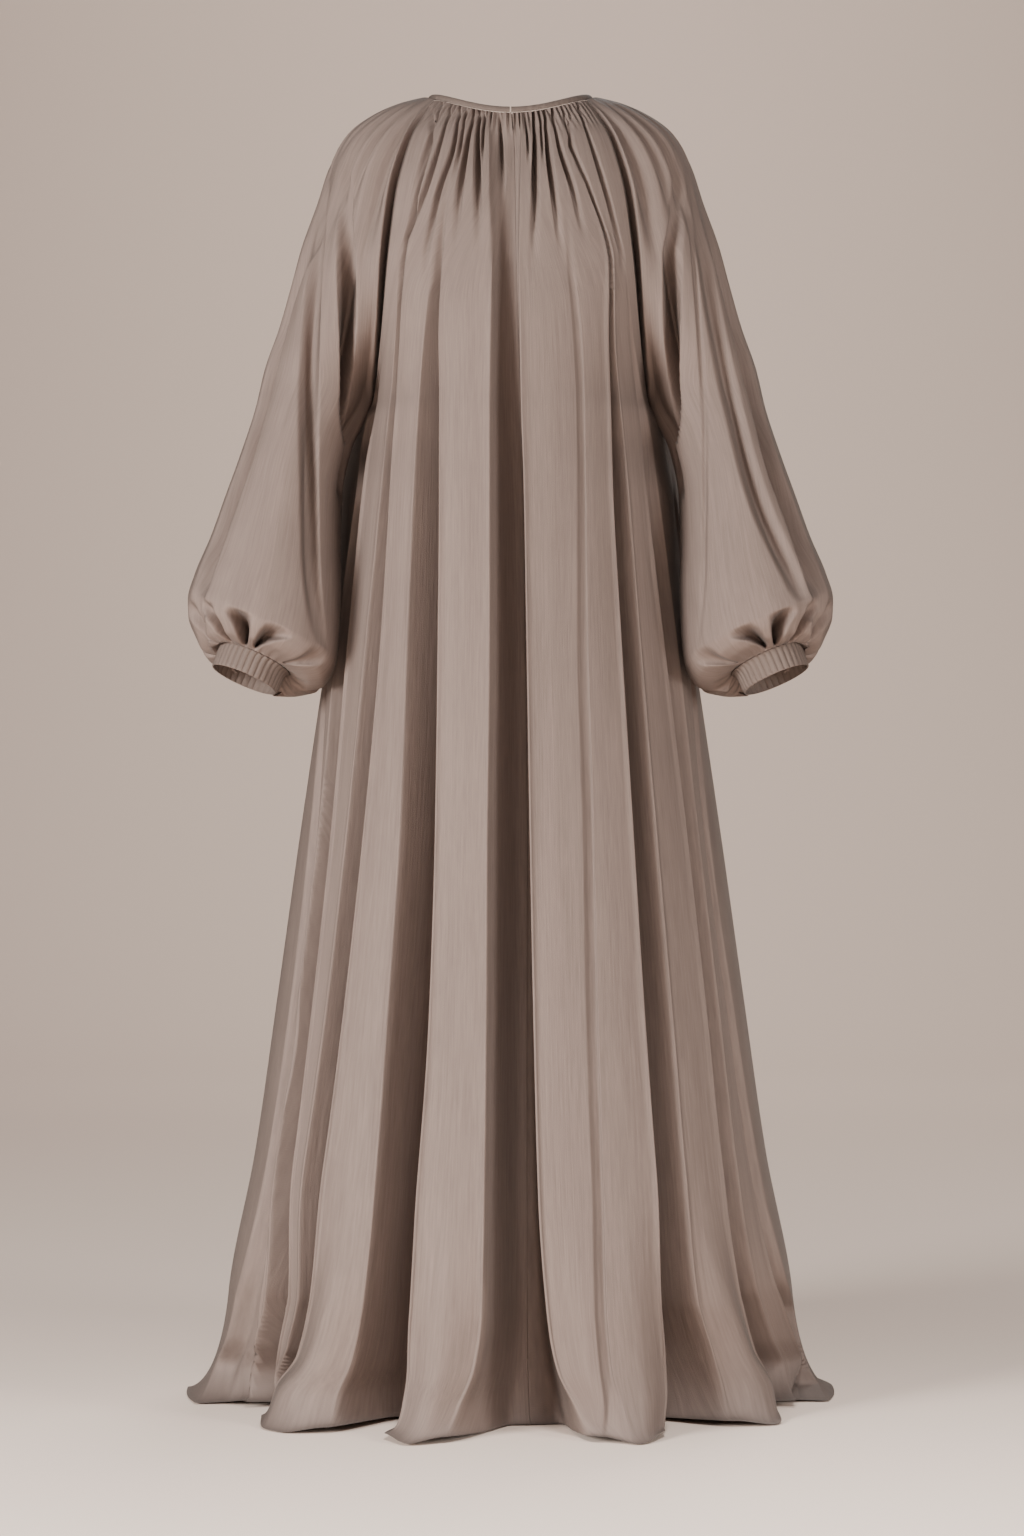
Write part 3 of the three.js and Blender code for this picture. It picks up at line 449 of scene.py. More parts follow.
print("halfway up a wall, soft and crisp:", [round(float(press_of(0.5, 1, k, 1)[0]), 3) for k in (0, 1)])

# %% [markdown]
# ## What a fold and a gather do
# A fold gives three things: how deep the cloth lies, how far it is shifted along the panel, and how
# far the hem is lifted. A gather gives only a depth, which fades out at its lower end.

# %% Folds and gathers at a point
def fold_at(face, fold, angle, drop, clear):
    """Depth, shift along the panel and lift of the hem that one fold gives."""
    middle, half, half_length = span_of(face, fold, drop)
    t = (angle - middle) / half
    past_lip = (np.abs(t) - 1) * half_length
    full = fold["depth_at"](drop)
    crisp = 1 - smooth(drop, *HEM_SOFTENS)
    flat = HEM_FLAT * smooth(drop, *HEM_FLATTENS)
    press, sharpness = press_of(t, fold["crisp_left"], fold["crisp_right"], crisp, flat)
    depth = full * press * clear * smooth(drop, 0, FOLD_OPENS_BY)
    lean = fold["lean"][0] + (fold["lean"][1] - fold["lean"][0]) * smooth(drop, *LEAN_CHANGES)
    shift = lean * depth + LIP_TURN_UNDER * half_length * np.clip(t, -1, 1) * press * sharpness
    lip = 1 - np.clip(np.abs(past_lip - LIP_OFFSET) / LIP_WIDTH, 0, 1) ** 2
    raised = LIP_RAISE * lip * sharpness * smooth(full, *LIP_DEPTHS)
    near_hem = smooth(drop, *HEM_ROUNDS) * smooth(full, *HEM_ROUND_DEPTHS)
    rounded = HEM_ROUND * near_hem * (1 - smooth(past_lip, -HEM_ROUND_INSIDE, HEM_ROUND_REACH))
    at_lip = (1 - smooth(past_lip, 0, HEM_ROUND_REACH)) * (1 - smooth(-past_lip, 0, HEM_LIFT_INSIDE))
    return depth - raised + rounded, shift, HEM_LIFT * at_lip * smooth(drop, *HEM_LIFTS) ** 2 * near_hem


def gather_at(face, gather, angle, drop):
    """Depth that one long gather gives."""
    middle, length = place_of(face, gather["x_at"](drop), drop)
    half = gather["half"] * (0.5 + 0.5 * smooth(drop, *GATHER_WIDENS))
    opened = GATHER_AT_BAND + (1 - GATHER_AT_BAND) * smooth(drop, 0, GATHER_OPENS_BY)
    left = 1 - smooth(drop, GATHER_FADES_FROM * gather["until"], gather["until"])
    press, _ = press_of((angle - middle) * length / half, GATHER_CRISP, 0, 1)
    return gather["depth"] * opened * left * press


def ripple_at(ripple, turn, drop):
    """Depth of the even ripple under the band."""
    wave = 0.5 - 0.5 * np.cos(turn * math.pi * ripple["count"])
    return ripple["depth"] * wave * (1 - smooth(drop, ripple["from"], ripple["until"]))


# %% [markdown]
# ## A point on the body
# One function answers, for any share and drop, where the cloth is. It starts on the outline, sums
# how deep the folds and gathers press there, and moves the point towards the body's middle by
# that depth. Working on whole arrays keeps this quick, even for a hundred thousand points.

# %% Body surface
def body_point(face, share, drop):
    arc = np.radians(BODY["arc"](drop))
    angle = share * arc
    x, y = outline(face, angle, drop)
    from_seam = (1 - np.abs(share)) * arc * half_width_at(drop)
    clear = smooth(from_seam, 0, SEAM_FLAT)
    depth, shift, lift = np.zeros((3, *angle.shape))
    for fold in FOLDS[face]:
        pressed, shifted, lifted = fold_at(face, fold, angle, drop, clear)
        depth, shift, lift = depth + pressed, shift + shifted, np.maximum(lift, lifted)
    off_seam = 1 - smooth(np.abs(share), GATHER_EDGE, 1)
    for gather in GATHERS[face]:
        depth = depth + gather_at(face, gather, angle, drop) * off_seam
    depth = depth + ripple_at(RIPPLE, share, drop)
    reach = np.hypot(x, y)
    ix, iy = -x / reach, -y / reach
    ax, ay = (iy, -ix) if face < 0 else (-iy, ix)
    neck_turn = np.radians(share * RAGLAN_ANGLE)
    dip = neck_height(neck_turn if face < 0 else math.pi - neck_turn) * levelled(drop)
    groove = (drop < UNDERARM_DROP) * (1 - np.clip(from_seam / BODY_SINK_WIDTH, 0, 1))
    y = y + iy * depth + ay * shift - face * RAGLAN_SINK(drop) * groove
    return np.stack([x + ix * depth + ax * shift, y, fall_of(drop)[0] + dip + lift], axis=-1)


middle = body_point(-1, np.array([[0.0]]), np.array([[300.0]]))[0, 0]
print("middle of the front, 300 mm down, in mm:", middle.round(1).tolist())

# %% [markdown]
# ## Columns that follow the folds
# A fold looks clean when its lips and its floor run along edges of the mesh. So below the gathers
# each row's columns are pulled to the folds: some on each lip, some between, some on each floor. The
# centre fold lies across the seam of the fronts, so each front has the stops on its own side.

# %% Columns
FOLD_STOPS = [-1.12, -1, -0.55, 0, 0.55, 1, 1.12]
LEAST_STEP = 0.3
CENTRE_OVERLAP = 0.05
COLUMNS_PULLED = (90, 250)
FRONT_FINE = 7
BACK_FINE = 4


def spread(shares):
    last = len(shares) - 1
    step = LEAST_STEP * (shares[last] - shares[0]) / last
    for i in range(1, last):
        shares[i] = max(shares[i], shares[i - 1] + step)
    for i in range(last - 1, 0, -1):
        shares[i] = min(shares[i], shares[i + 1] - step)
    return shares


def fold_shares(start, end, places, fine):
    """Shares from start to end on the folds' stops, each step between them cut into fine parts."""
    shares = [start]
    for middle, reach, stops in places:
        across = [middle + stop * reach for stop in stops]
        if stops[0] < 0:
            shares.append((shares[-1] + across[0]) / 2)
        shares += across
    if places[-1][2][-1] > 0:
        shares.append((shares[-1] + end) / 2)
    knots = spread(shares + [end])
    return np.interp(np.arange((len(knots) - 1) * fine + 1) / fine, np.arange(len(knots)), knots)


def body_shares(face, start, end, drop, fine):
    arc = np.radians(BODY["arc"](drop))
    side = start + end
    places = []
    for fold in FOLDS[face]:
        middle, half, _ = span_of(face, fold, drop)
        stops = FOLD_STOPS
        if fold["name"] == "centre" and face < 0:
            stops = [s for s in FOLD_STOPS if (s + CENTRE_OVERLAP * side) * side > 0 and s != 0]
        elif face < 0 and fold["left"][0] * side < 0:
            continue
        places.append((float(middle / arc), float(half / arc), stops))
    pulled = fold_shares(start, end, places, fine)
    even = np.linspace(start, end, len(pulled))
    weight = smooth(drop, *COLUMNS_PULLED)
    return even * (1 - weight) + pulled * weight


print("columns across one front:", len(body_shares(-1, -1, 0, 600, FRONT_FINE)))

# %% [markdown]
# ## From rows of points to cloth
# A panel is one mesh of quads. Its UV map is measured in metres along the cloth, so that a weave
# laid on it later keeps its size in every panel and runs down the cloth as the real grain does. The
# widths come from one row, two fifths of the way down, so that the grain follows the columns. A
# last few rows turn in at the hem, as a narrow rolled hem does.

# %% Mesh of a panel
HEM_TURN = 11
HEM_THICKNESS = 1.2


def cloth_mesh(name, points, closed=False, flip=False):
    """points is (rows, columns, 3) in millimetres; a closed panel joins its last column to its first."""
    count, columns = points.shape[:2]
    flat = (points.reshape(-1, 3) / MM_IN_A_METRE).tolist()
    last = columns if closed else columns - 1
    faces = []
    for r in range(count - 1):
        for c in range(last):
            a, b = r * columns + c, r * columns + (c + 1) % columns
            quad = (a, a + columns, b + columns, b)
            faces.append(quad[::-1] if flip else quad)
    mesh = bpy.data.meshes.new(name)
    mesh.from_pydata(flat, [], faces)
    steps = np.linalg.norm(np.diff(points, axis=1), axis=2)
    grain_row = count * 2 // 5
    across = np.concatenate([[0], np.cumsum(steps[grain_row])])
    across = (across - across[columns // 2])[None, :].repeat(count, axis=0)
    drops = np.linalg.norm(np.diff(points[:, columns // 2], axis=0), axis=1)
    down = np.concatenate([[0], np.cumsum(drops)])[:, None].repeat(columns, axis=1)
    uv = mesh.uv_layers.new(name="cloth")
    corner = np.zeros(len(mesh.loops), dtype=np.int64)
    mesh.loops.foreach_get("vertex_index", corner)
    pairs = np.stack([across.reshape(-1)[corner], down.reshape(-1)[corner]], axis=1) / MM_IN_A_METRE
    uv.data.foreach_set("uv", pairs.reshape(-1))
    mesh.polygons.foreach_set("use_smooth", np.ones(len(faces), dtype=bool))
    mesh.update()
    piece = bpy.data.objects.new(name, mesh)
    bpy.context.scene.collection.objects.link(piece)
    return piece


def turned_in(points, outward):
    """Rows added under the last one: the cloth rolls in over its edge and runs up inside."""
    edge, above = points[-1], points[-2]
    up = above - edge
    up /= np.linalg.norm(up, axis=1)[:, None]
    inner = edge - outward * HEM_THICKNESS
    return np.concatenate([points, [edge - outward * HEM_THICKNESS * 0.5 - up * 0.5, inner,
                                    inner + up * HEM_TURN / 2, inner + up * HEM_TURN]])


def describe(pieces):
    for piece in pieces:
        area = sum(face.area for face in piece.data.polygons)
        print(piece.name, len(piece.data.polygons), "quads,", round(area, 4), "square metres")


# %% [markdown]
# ## The fronts and the back
# The fronts are two mirror-cut halves seamed at the centre, with a short opening below the band so
# that the head fits through. The rows are closer together near the neck, where the gathers are.

# %% Build the body
SLIT_LENGTH = 170
SLIT_HALF_GAP = 1.7
SLIT_NARROWS_BY = 40
SEAM_EASE = 0.2
TINY = 1e-6
BODY_ROWS = [(7, 60, 2.5), (60, 400, 4), (400, HEM_SWEEP_DROP, 8), (HEM_SWEEP_DROP, HEM_DROP, 4)]


def drops_of(stretches, last):
    """Drops of a panel's rows. A stretch has a start, an end and a step."""
    return np.concatenate([np.arange(*stretch) for stretch in stretches] + [[last]])


def ease_edge(points, column, neighbour, gaps):
    direction = points[:, neighbour] - points[:, column]
    direction[:, 2] = 0
    direction /= np.maximum(np.linalg.norm(direction, axis=1), TINY)[:, None]
    points[:, column] += direction * gaps[:, None]


def outward_of(edge):
    """Outward directions along a hem row, level with the floor."""
    along = np.gradient(edge, axis=0)
    out = np.stack([-along[:, 1], along[:, 0], np.zeros(len(along))], axis=1)
    out /= np.maximum(np.linalg.norm(out, axis=1), TINY)[:, None]
    inwards = (out[:, :2] * -edge[:, :2]).sum(axis=1).mean()
    return out * -np.sign(inwards)


def build_front(name, side):
    start, end = (-1, 0) if side < 0 else (0, 1)
    drops = drops_of(BODY_ROWS, HEM_DROP)
    shares = np.array([body_shares(-1, start, end, drop, FRONT_FINE) for drop in drops])
    points = body_point(-1, shares, drops[:, None])
    slit = SEAM_EASE + SLIT_HALF_GAP * (1 - smooth(drops, 0, SLIT_NARROWS_BY)) * (drops < SLIT_LENGTH)
    seam = np.full(len(drops), SEAM_EASE)
    ease_edge(points, 0, 1, seam if side < 0 else slit)
    ease_edge(points, -1, -2, slit if side < 0 else seam)
    return cloth_mesh(name, turned_in(points, outward_of(points[-1])))


def build_back(name):
    drops = drops_of(BODY_ROWS, HEM_DROP)
    shares = np.array([body_shares(1, -1, 1, drop, BACK_FINE) for drop in drops])
    points = body_point(1, shares, drops[:, None])
    seam = np.full(len(drops), SEAM_EASE)
    ease_edge(points, 0, 1, seam)
    ease_edge(points, -1, -2, seam)
    return cloth_mesh(name, turned_in(points, outward_of(points[-1])), flip=True)


front_right = build_front("front_right_cloth", -1)
front_left = build_front("front_left_cloth", 1)
back = build_back("back_cloth")
describe([front_right, front_left, back])

# %% [markdown]
# ## The sleeves
# A raglan sleeve runs right up to the neckband. Above the underarm its edges follow the body's
# seams, and below it the sleeve is a tube that swells into a puff and is drawn into the cuff. The
# drawn-in cloth makes a few deep pinches, with finer gathers between them.

# %% Sleeve tables
SLEEVE_FOLD_DROPS = [100, 160, 205, 270, 335, 400, 465, 510, 555, 600, 640]
SLEEVE_COLUMNS = ["name", "face", "x", "width", "depth", "crisp_in", "crisp_out"]
BACK_DRAPES = [
    ["outer drape", 1, [160, 180, 192, 210, 226, 244, 258, 270, 282, 294, 304], 40,
     [0, 2, 5, 10, 14, 16, 17, 17, 16, 12, 6], 0, 1],
    ["inner drape", 1, [150, 160, 164, 168, 176, 186, 192, 200, 206, 214, 222], 36,
     [0, 4, 9, 17, 22, 24, 24, 22, 18, 10, 2], 1, 0],
]
SLEEVE_FOLDS = {
    -1: rows(SLEEVE_COLUMNS, [
        ["inner valley", -1, [178, 176, 172, 170, 172, 178, 186, 187, 187, 187, 187], 22,
         [0, 6, 18, 32, 38, 34, 0, 0, 0, 0, 0], 1, 1],
        ["soft drape", -1, [200, 205, 208, 210, 211, 212, 211, 210, 208, 204, 200], 28,
         [0, 4, 8, 12, 15, 16, 15, 13, 11, 5, 0], 1, 0],
        ["outer step", -1, [190, 205, 219, 240, 256, 270, 286, 299, 312, 325, 334], 34,
         [0, 3, 7, 11, 15, 18, 20, 21, 20, 16, 6], 1, 0],
        *BACK_DRAPES,
    ]),
    1: rows(SLEEVE_COLUMNS, [
        ["inner valley", -1, [180, 177, 169, 168, 171, 178, 186, 187, 187, 187, 187], 22,
         [0, 6, 18, 32, 38, 34, 0, 0, 0, 0, 0], 0.4, 1],
        ["thin line", -1, [196, 198, 200, 204, 208, 211, 211, 210, 209, 206, 203], 9,
         [0, 1, 2, 2.5, 3, 3, 3, 2.5, 2, 1, 0], 1, 0],
        ["soft drape", -1, [190, 198, 204, 212, 223, 236, 250, 262, 278, 296, 308], 30,
         [0, 3, 6, 9, 11, 13, 15, 15, 14, 9, 2], 0, 0],
        ["outer step", -1, [195, 210, 222, 238, 253, 267, 281, 294, 308, 321, 330], 34,
         [0, 3, 7, 11, 15, 18, 20, 21, 20, 16, 6], 1, 0],
        *BACK_DRAPES,
    ]),
}
for fold in SLEEVE_FOLDS[-1] + SLEEVE_FOLDS[1]:
    for column in ("x", "depth"):
        fold[column + "_at"] = through(SLEEVE_FOLD_DROPS, fold[column])
UNDERARM_SHELF = through([200, 270, 335, 400, 465], [0, 0.1, 0.25, 0.5, 0])
SLEEVE_HEAD = rows(["share", "until", "half", "depth"], [
    [-0.84, 250, 0.1, 13],
    [-0.66, 190, 0.07, 9],
    [-0.5, 230, 0.08, 10],
    [-0.33, 120, 0.05, 6],
    [-0.16, 160, 0.06, 7],
    [0.02, 110, 0.05, 6],
    [0.18, 150, 0.06, 7],
    [0.38, 190, 0.08, 9],
    [0.6, 210, 0.08, 9],
    [0.8, 240, 0.1, 12],
])
PINCHES = rows(["turn", "swing", "half", "depth"], [
    [-146, 8, 12, 20],
    [-108, 14, 12, 32],
    [-76, -4, 13, 36],
    [-44, -14, 11, 22],
    [-18, -10, 10, 18],
    [12, 0, 10, 14],
    [40, 6, 12, 20],
    [78, 0, 13, 28],
    [118, -6, 12, 20],
    [158, 0, 10, 14],
])
HEAD_OPENS_BY = 70
HEAD_FADES_FROM = 0.35
HEAD_RIPPLE = {"count": 8, "depth": 2, "from": 8, "until": 30}
PINCHES_DEEPEN = (CUFF_TOP - 56, CUFF_TOP - 18)
PINCHES_END = (CUFF_TOP - 13, CUFF_TOP - 2)
PINCHES_SWING = (CUFF_TOP - 40, CUFF_TOP)
PINCH_NARROWS = 0.6
CUFF_GATHERS = 26
CUFF_GATHER_DEPTH = 2.2
CUFF_GATHERS_DEEPEN = (CUFF_TOP - 16, CUFF_TOP - 4)
print(len(SLEEVE_HEAD), "gathers at a sleeve's head,", len(PINCHES), "pinches above its cuff")

# %% [markdown]
# ## A point on a sleeve
# A ring of the sleeve is an ellipse, tilted, because its seam and its outer point hang at different
# heights. Folds, gathers and pinches press it towards the ring's middle. Beside the inner valley the
# cloth stays a little pressed in as far as the underarm seam, which keeps it clear of the body.

# %% Sleeve surface
SLEEVE_SEAM_FLAT = 12
SHELF_EDGE = 24
CUFF_SEAM = CUFF_TOP - 0.01
CUFF_CLEARANCE = 0.36


def sleeve_ring(drop):
    span = np.radians(SLEEVE["span"](drop))
    half_width = (SLEEVE["out_x"](drop) - SLEEVE["seam_x"](drop)) / (1 - np.cos(span))
    return span, half_width, SLEEVE["out_x"](drop) - half_width, SLEEVE["half_depth"](drop)


def ring_height(outward, turn, drop):
    seam_z, out_z = SLEEVE["seam_z"](drop), SLEEVE["out_z"](drop)
    return seam_z + (out_z - seam_z) * outward - SLEEVE["front_lift"](drop) * np.sin(turn)


def head_depth(share, drop):
    depth = ripple_at(HEAD_RIPPLE, share + 1, drop)
    for head in SLEEVE_HEAD:
        left = 1 - smooth(drop, HEAD_FADES_FROM * head["until"], head["until"])
        t = (share - head["share"]) / head["half"]
        depth = depth + head["depth"] * smooth(drop, 0, HEAD_OPENS_BY) * left * dimple(t)
    return depth


def puff_depth(share, drop):
    wave = 0.5 - 0.5 * np.cos((share + 1) * math.pi * CUFF_GATHERS)
    depth = CUFF_GATHER_DEPTH * wave * smooth(drop, *CUFF_GATHERS_DEEPEN) * (drop < CUFF_SEAM)
    level = smooth(drop, *PINCHES_DEEPEN) * (1 - smooth(drop, *PINCHES_END))
    near = smooth(drop, *PINCHES_SWING)
    for pinch in PINCHES:
        half = pinch["half"] * (1 - PINCH_NARROWS * near)
        t = (share * 180 - pinch["turn"] - pinch["swing"] * near) / half
        depth = depth + pinch["depth"] * dimple(t) * level
    return depth


def sleeve_fold(fold, turn, drop):
    _, half_width, centre_x, half_depth = sleeve_ring(drop)
    mean = (half_width + half_depth) / 2
    across = np.clip((fold["x_at"](drop) - centre_x) / half_width, -MOST_SIDEWAYS, MOST_SIDEWAYS)
    half = fold["width"] / 2 / mean
    on_face = fold["face"] * turn
    t = (np.arccos(across) - on_face - half) / half
    press, _ = press_of(t, fold["crisp_in"], fold["crisp_out"], 1)
    if fold["name"] == "inner valley":
        beside = smooth((math.pi - np.abs(turn)) * mean, 0, SHELF_EDGE) * (t < 0) * (on_face > 0)
        press = press + (1 - press) * UNDERARM_SHELF(drop) * beside
    return fold["depth_at"](drop) * press


def sleeve_point(side, share, drop):
    span, half_width, centre_x, half_depth = sleeve_ring(drop)
    turn = share * span
    outward = (np.cos(turn) - np.cos(span)) / (1 - np.cos(span))
    from_seam = (1 - np.abs(share)) * span * half_depth
    clear = np.where(drop < UNDERARM_DROP, smooth(from_seam, 0, SLEEVE_SEAM_FLAT), 1)
    depth = head_depth(share, drop) + puff_depth(share, drop)
    for fold in SLEEVE_FOLDS[side]:
        depth = depth + sleeve_fold(fold, turn, drop) * clear
    clearance = np.where(drop >= CUFF_SEAM, CUFF_CLEARANCE, 0)
    x = centre_x + (half_width + clearance) * np.cos(turn)
    y = SLEEVE["mid_y"](drop) + (half_depth + clearance) * np.sin(turn)
    ix, iy = centre_x - x, SLEEVE["mid_y"](drop) - y
    reach = np.maximum(np.hypot(ix, iy), TINY)
    dip = neck_height(math.pi / 2 + np.radians(share * (90 - RAGLAN_ANGLE))) * levelled(drop)
    groove = (drop < UNDERARM_DROP) * (1 - np.clip(from_seam / SLEEVE_SINK_WIDTH, 0, 1))
    y = y + iy / reach * depth - np.sign(share) * RAGLAN_SINK(drop) * groove
    z = ring_height(outward, turn, drop) + clearance + dip
    return np.stack([x + ix / reach * depth, y, z], axis=-1)


# %% [markdown]
# ## Both sleeves
# One function makes either sleeve, and the wearer's right one is mirrored. The rows are closest
# near the cuff, where the pinches are, and the last row passes just over the cuff's upper edge.

# %% Build the sleeves
SLEEVE_ROWS = [(7, 60, 3), (60, 630, 4.5), (630, CUFF_TOP, 1.5)]
SLEEVE_POINTS_ROUND = 321


def build_sleeve(name, side):
    drops = drops_of(SLEEVE_ROWS, CUFF_TOP)
    shares = np.repeat(np.linspace(-1, 1, SLEEVE_POINTS_ROUND)[None, :], len(drops), axis=0)
    points = sleeve_point(side, shares, drops[:, None])
    seam = np.full(len(drops), SEAM_EASE) * (drops < UNDERARM_DROP - 1)
    ease_edge(points, 0, 1, seam)
    ease_edge(points, -1, -2, seam)
    points[:, :, 0] *= side
    return cloth_mesh(name, points, flip=side < 0)


sleeve_right = build_sleeve("sleeve_right_cloth", -1)
sleeve_left = build_sleeve("sleeve_left_cloth", 1)
describe([sleeve_right, sleeve_left])

# %% [markdown]
# ## The cuffs
# The cuffs are short tubes shirred over elastic, which shows as close ribs, inside and out. Each is
# swept round from one profile, deepest between two ribs, and joins up with itself.

# %% Build the cuffs
CUFF_RIBS = 34
RIB_POINTS = 12
RIB_DEPTH = 1.9
RIB_FULLNESS = 0.6
CUFF_EDGE = 0.9
CUFF_TURN = 1.8
CUFF_INSIDE = 2.2
CUFF_PROFILE = [(0, 0), (0.03, 0.5), (0.12, 1), (0.3, 0.9), (0.5, 1), (0.7, 0.9), (0.88, 1),
                (0.97, 0.6), (1, 0)]


def build_cuff(name, side):
    """The profile runs down the outside and back up the inside, as how far down and how full a rib is."""
    shares = np.linspace(1, -1, CUFF_RIBS * RIB_POINTS + 1)[:-1]
    turn = shares * math.pi
    dent = 1 - np.abs(np.cos(turn * CUFF_RIBS / 2)) ** RIB_FULLNESS
    layers = [(down, -CUFF_EDGE * (1 - full) - RIB_DEPTH * dent * full) for down, full in CUFF_PROFILE]
    layers += [(1, np.full_like(dent, -CUFF_TURN))]
    layers += [(down, -CUFF_INSIDE + dent * full) for down, full in CUFF_PROFILE[::-1]]
    points = []
    for down, out in layers:
        drop = CUFF_TOP + down * (CUFF_BOTTOM - CUFF_TOP)
        _, half_width, centre_x, half_depth = sleeve_ring(drop)
        x = centre_x + (half_width + out) * np.cos(turn)
        y = SLEEVE["mid_y"](drop) + (half_depth + out) * np.sin(turn)
        points.append(np.stack([side * x, y, ring_height((np.cos(turn) + 1) / 2, turn, drop)], axis=-1))
    return cloth_mesh(name, np.array(points), closed=True, flip=side > 0)


cuff_right = build_cuff("cuff_right_cloth", -1)
cuff_left = build_cuff("cuff_left_cloth", 1)
describe([cuff_right, cuff_left])

# %% [markdown]
# ## The neckband
# Its section, as how far out and how far down, is swept round the neck and closes on itself. It
# leans outwards on its way down, and its outer side is a little puckered, as a binding sewn over
# gathers is.

# %% Build the neckband
BAND_POINTS = 361
BAND_END_GAP = math.radians(0.5)
BAND_SLOPE = 0.45
PUCKERS = rows(["height", "count", "start"], [[0.18, 74, 0], [0.1, 41, 1]])
BAND_SECTION = [(0.6, 5.9), (0.95, 4.6), (1, 3.2), (0.85, 1.6), (0.45, 0.5), (-0.5, 0), (-1.3, 0.5),
                (-1.8, 1.8), (-1.8, 4.6), (-1.5, 6), (-0.4, BAND_HEIGHT), (0.6, 5.9)]


def build_band(name):
    angles = np.linspace(BAND_END_GAP, 2 * math.pi - BAND_END_GAP, BAND_POINTS)
    out_x, out_y = np.sin(angles) / NECK_HALF_WIDTH, -np.cos(angles) / NECK_HALF_DEPTH
    size = np.hypot(out_x, out_y)
    pucker = sum(wave["height"] * np.cos(angles * wave["count"] + wave["start"]) for wave in PUCKERS)
    points = []
    for out, down in BAND_SECTION:
        reach = out + down * BAND_SLOPE + pucker * (out > 0)
        x = NECK_HALF_WIDTH * np.sin(angles) + out_x / size * reach
        y = -NECK_HALF_DEPTH * np.cos(angles) + out_y / size * reach
        points.append(np.stack([x, y, neck_height(angles) - down], axis=-1))
    return cloth_mesh(name, np.array(points), flip=True)


neckband = build_band("neckband_cloth")
describe([neckband])

# %% [markdown]
# ## The cloth's material
# Crepe is matt, with a faint sheen where it turns away from the eye. Its yarns are uneven, so it
# carries fine streaks along the grain. The streaks change the colour a little and raise the
# surface a little, and a finer grain on top gives the pebbled feel of crepe. Where the cloth turns
# away from the eye its colour is painted darker as well: this is painted shade. The streaks and the
# painted shade are a group of nodes, built once and used by every cloth material. Noise sizes are waves in a
# metre of cloth.

# %% The weave
# How much colour is taken off, and how sharply, where the cloth turns away from the eye: painted shade.
PAINTED_EDGE_SHADE = 0.7
PAINTED_EDGE_POWER = 1.6
NOISES = rows(["name", "across", "down", "detail"], [
    ["streaks", 520, 11, 3],
    ["threads", 850, 34, 2],
    ["grain", 1500, 1300, 2],
    ["patches", 42, 2.2, 2],
])
WEAVE_INPUTS = [
    ("Base", "NodeSocketColor", (0.3, 0.25, 0.22, 1)),
    ("Streak", "NodeSocketFloat", 0.08),
    ("Grain", "NodeSocketFloat", 0.4),
    ("Turned away", "NodeSocketFloat", 0),
]
WEAVE_OUTPUTS = [
    ("Color", "NodeSocketColor"),
    ("Height", "NodeSocketFloat"),
    ("Roughness", "NodeSocketFloat"),
]


def crepe_group():
    """Streaks and grain of the crepe, from the cloth's own UV map, and painted shade where the cloth turns
    away from the eye.
    """
    group = bpy.data.node_groups.new("crepe_weave_and_painted_shade", "ShaderNodeTree")
    for name, kind, value in WEAVE_INPUTS:
        group.interface.new_socket(name=name, in_out="INPUT", socket_type=kind).default_value = value
    for name, kind in WEAVE_OUTPUTS:
        group.interface.new_socket(name=name, in_out="OUTPUT", socket_type=kind)
    nodes, links = group.nodes, group.links
    given = nodes.new("NodeGroupInput").outputs
    result = nodes.new("NodeGroupOutput").inputs
    uv = nodes.new("ShaderNodeUVMap")
    uv.uv_map = "cloth"

    def noise(size):
        mapping = nodes.new("ShaderNodeMapping")
        mapping.inputs["Scale"].default_value = (size["across"], size["down"], 1)
        links.new(uv.outputs["UV"], mapping.inputs["Vector"])
        texture = nodes.new("ShaderNodeTexNoise")
        texture.inputs["Scale"].default_value = 1
        texture.inputs["Detail"].default_value = size["detail"]
        links.new(mapping.outputs["Vector"], texture.inputs["Vector"])
        return texture.outputs["Fac"]

    def maths(operation, a, b):
        node = nodes.new("ShaderNodeMath")
        node.operation = operation
        for k, value in enumerate((a, b)):
            if isinstance(value, (int, float)):
                node.inputs[k].default_value = value
            else:
                links.new(value, node.inputs[k])
        return node.outputs[0]

    def mix(a, share_a, b, share_b):
        return maths("ADD", maths("MULTIPLY", a, share_a), maths("MULTIPLY", b, share_b))

    streaks, threads, grain, patches = [noise(size) for size in NOISES]
    lines = mix(streaks, 0.6, threads, 0.4)
    uneven = mix(lines, 0.68, patches, 0.32)
    swing = maths("MULTIPLY", given["Streak"], 2)
    shade = maths("ADD", 1, maths("MULTIPLY", maths("SUBTRACT", uneven, 0.5), swing))
    # Painted shade: the colour is darkened where the cloth turns away from the eye.
    away = maths("POWER", given["Turned away"], PAINTED_EDGE_POWER)
    shade = maths("MULTIPLY", shade, maths("SUBTRACT", 1, maths("MULTIPLY", away, PAINTED_EDGE_SHADE)))
    tint = nodes.new("ShaderNodeVectorMath")
    tint.operation = "SCALE"
    links.new(given["Base"], tint.inputs[0])
    links.new(shade, tint.inputs["Scale"])
    links.new(tint.outputs["Vector"], result["Color"])
    links.new(mix(lines, 0.6, grain, given["Grain"]), result["Height"])
    links.new(maths("ADD", 0.62, maths("MULTIPLY", lines, 0.16)), result["Roughness"])
    return group


weave = crepe_group()
print("weave group:", len(weave.nodes), "nodes")

# %% [markdown]
# ## Two cloths from one weave
# Body and sleeves share one material. Neckband and cuffs are the same crepe, drawn up tight, so it
# looks more even, and their colour is painted darker: painted shade for the shade of their tight
# gathers. Sheen is a thin layer of light from loose fibres.

# %% Cloth materials
BUMP_HEIGHT = 0.0012
CREPE_FINISH = {
    "Sheen Weight": 0.12,
    "Sheen Roughness": 0.3,
    "Sheen Tint": (1, 0.93, 0.88, 1),
    "Specular IOR Level": 0.2,
}


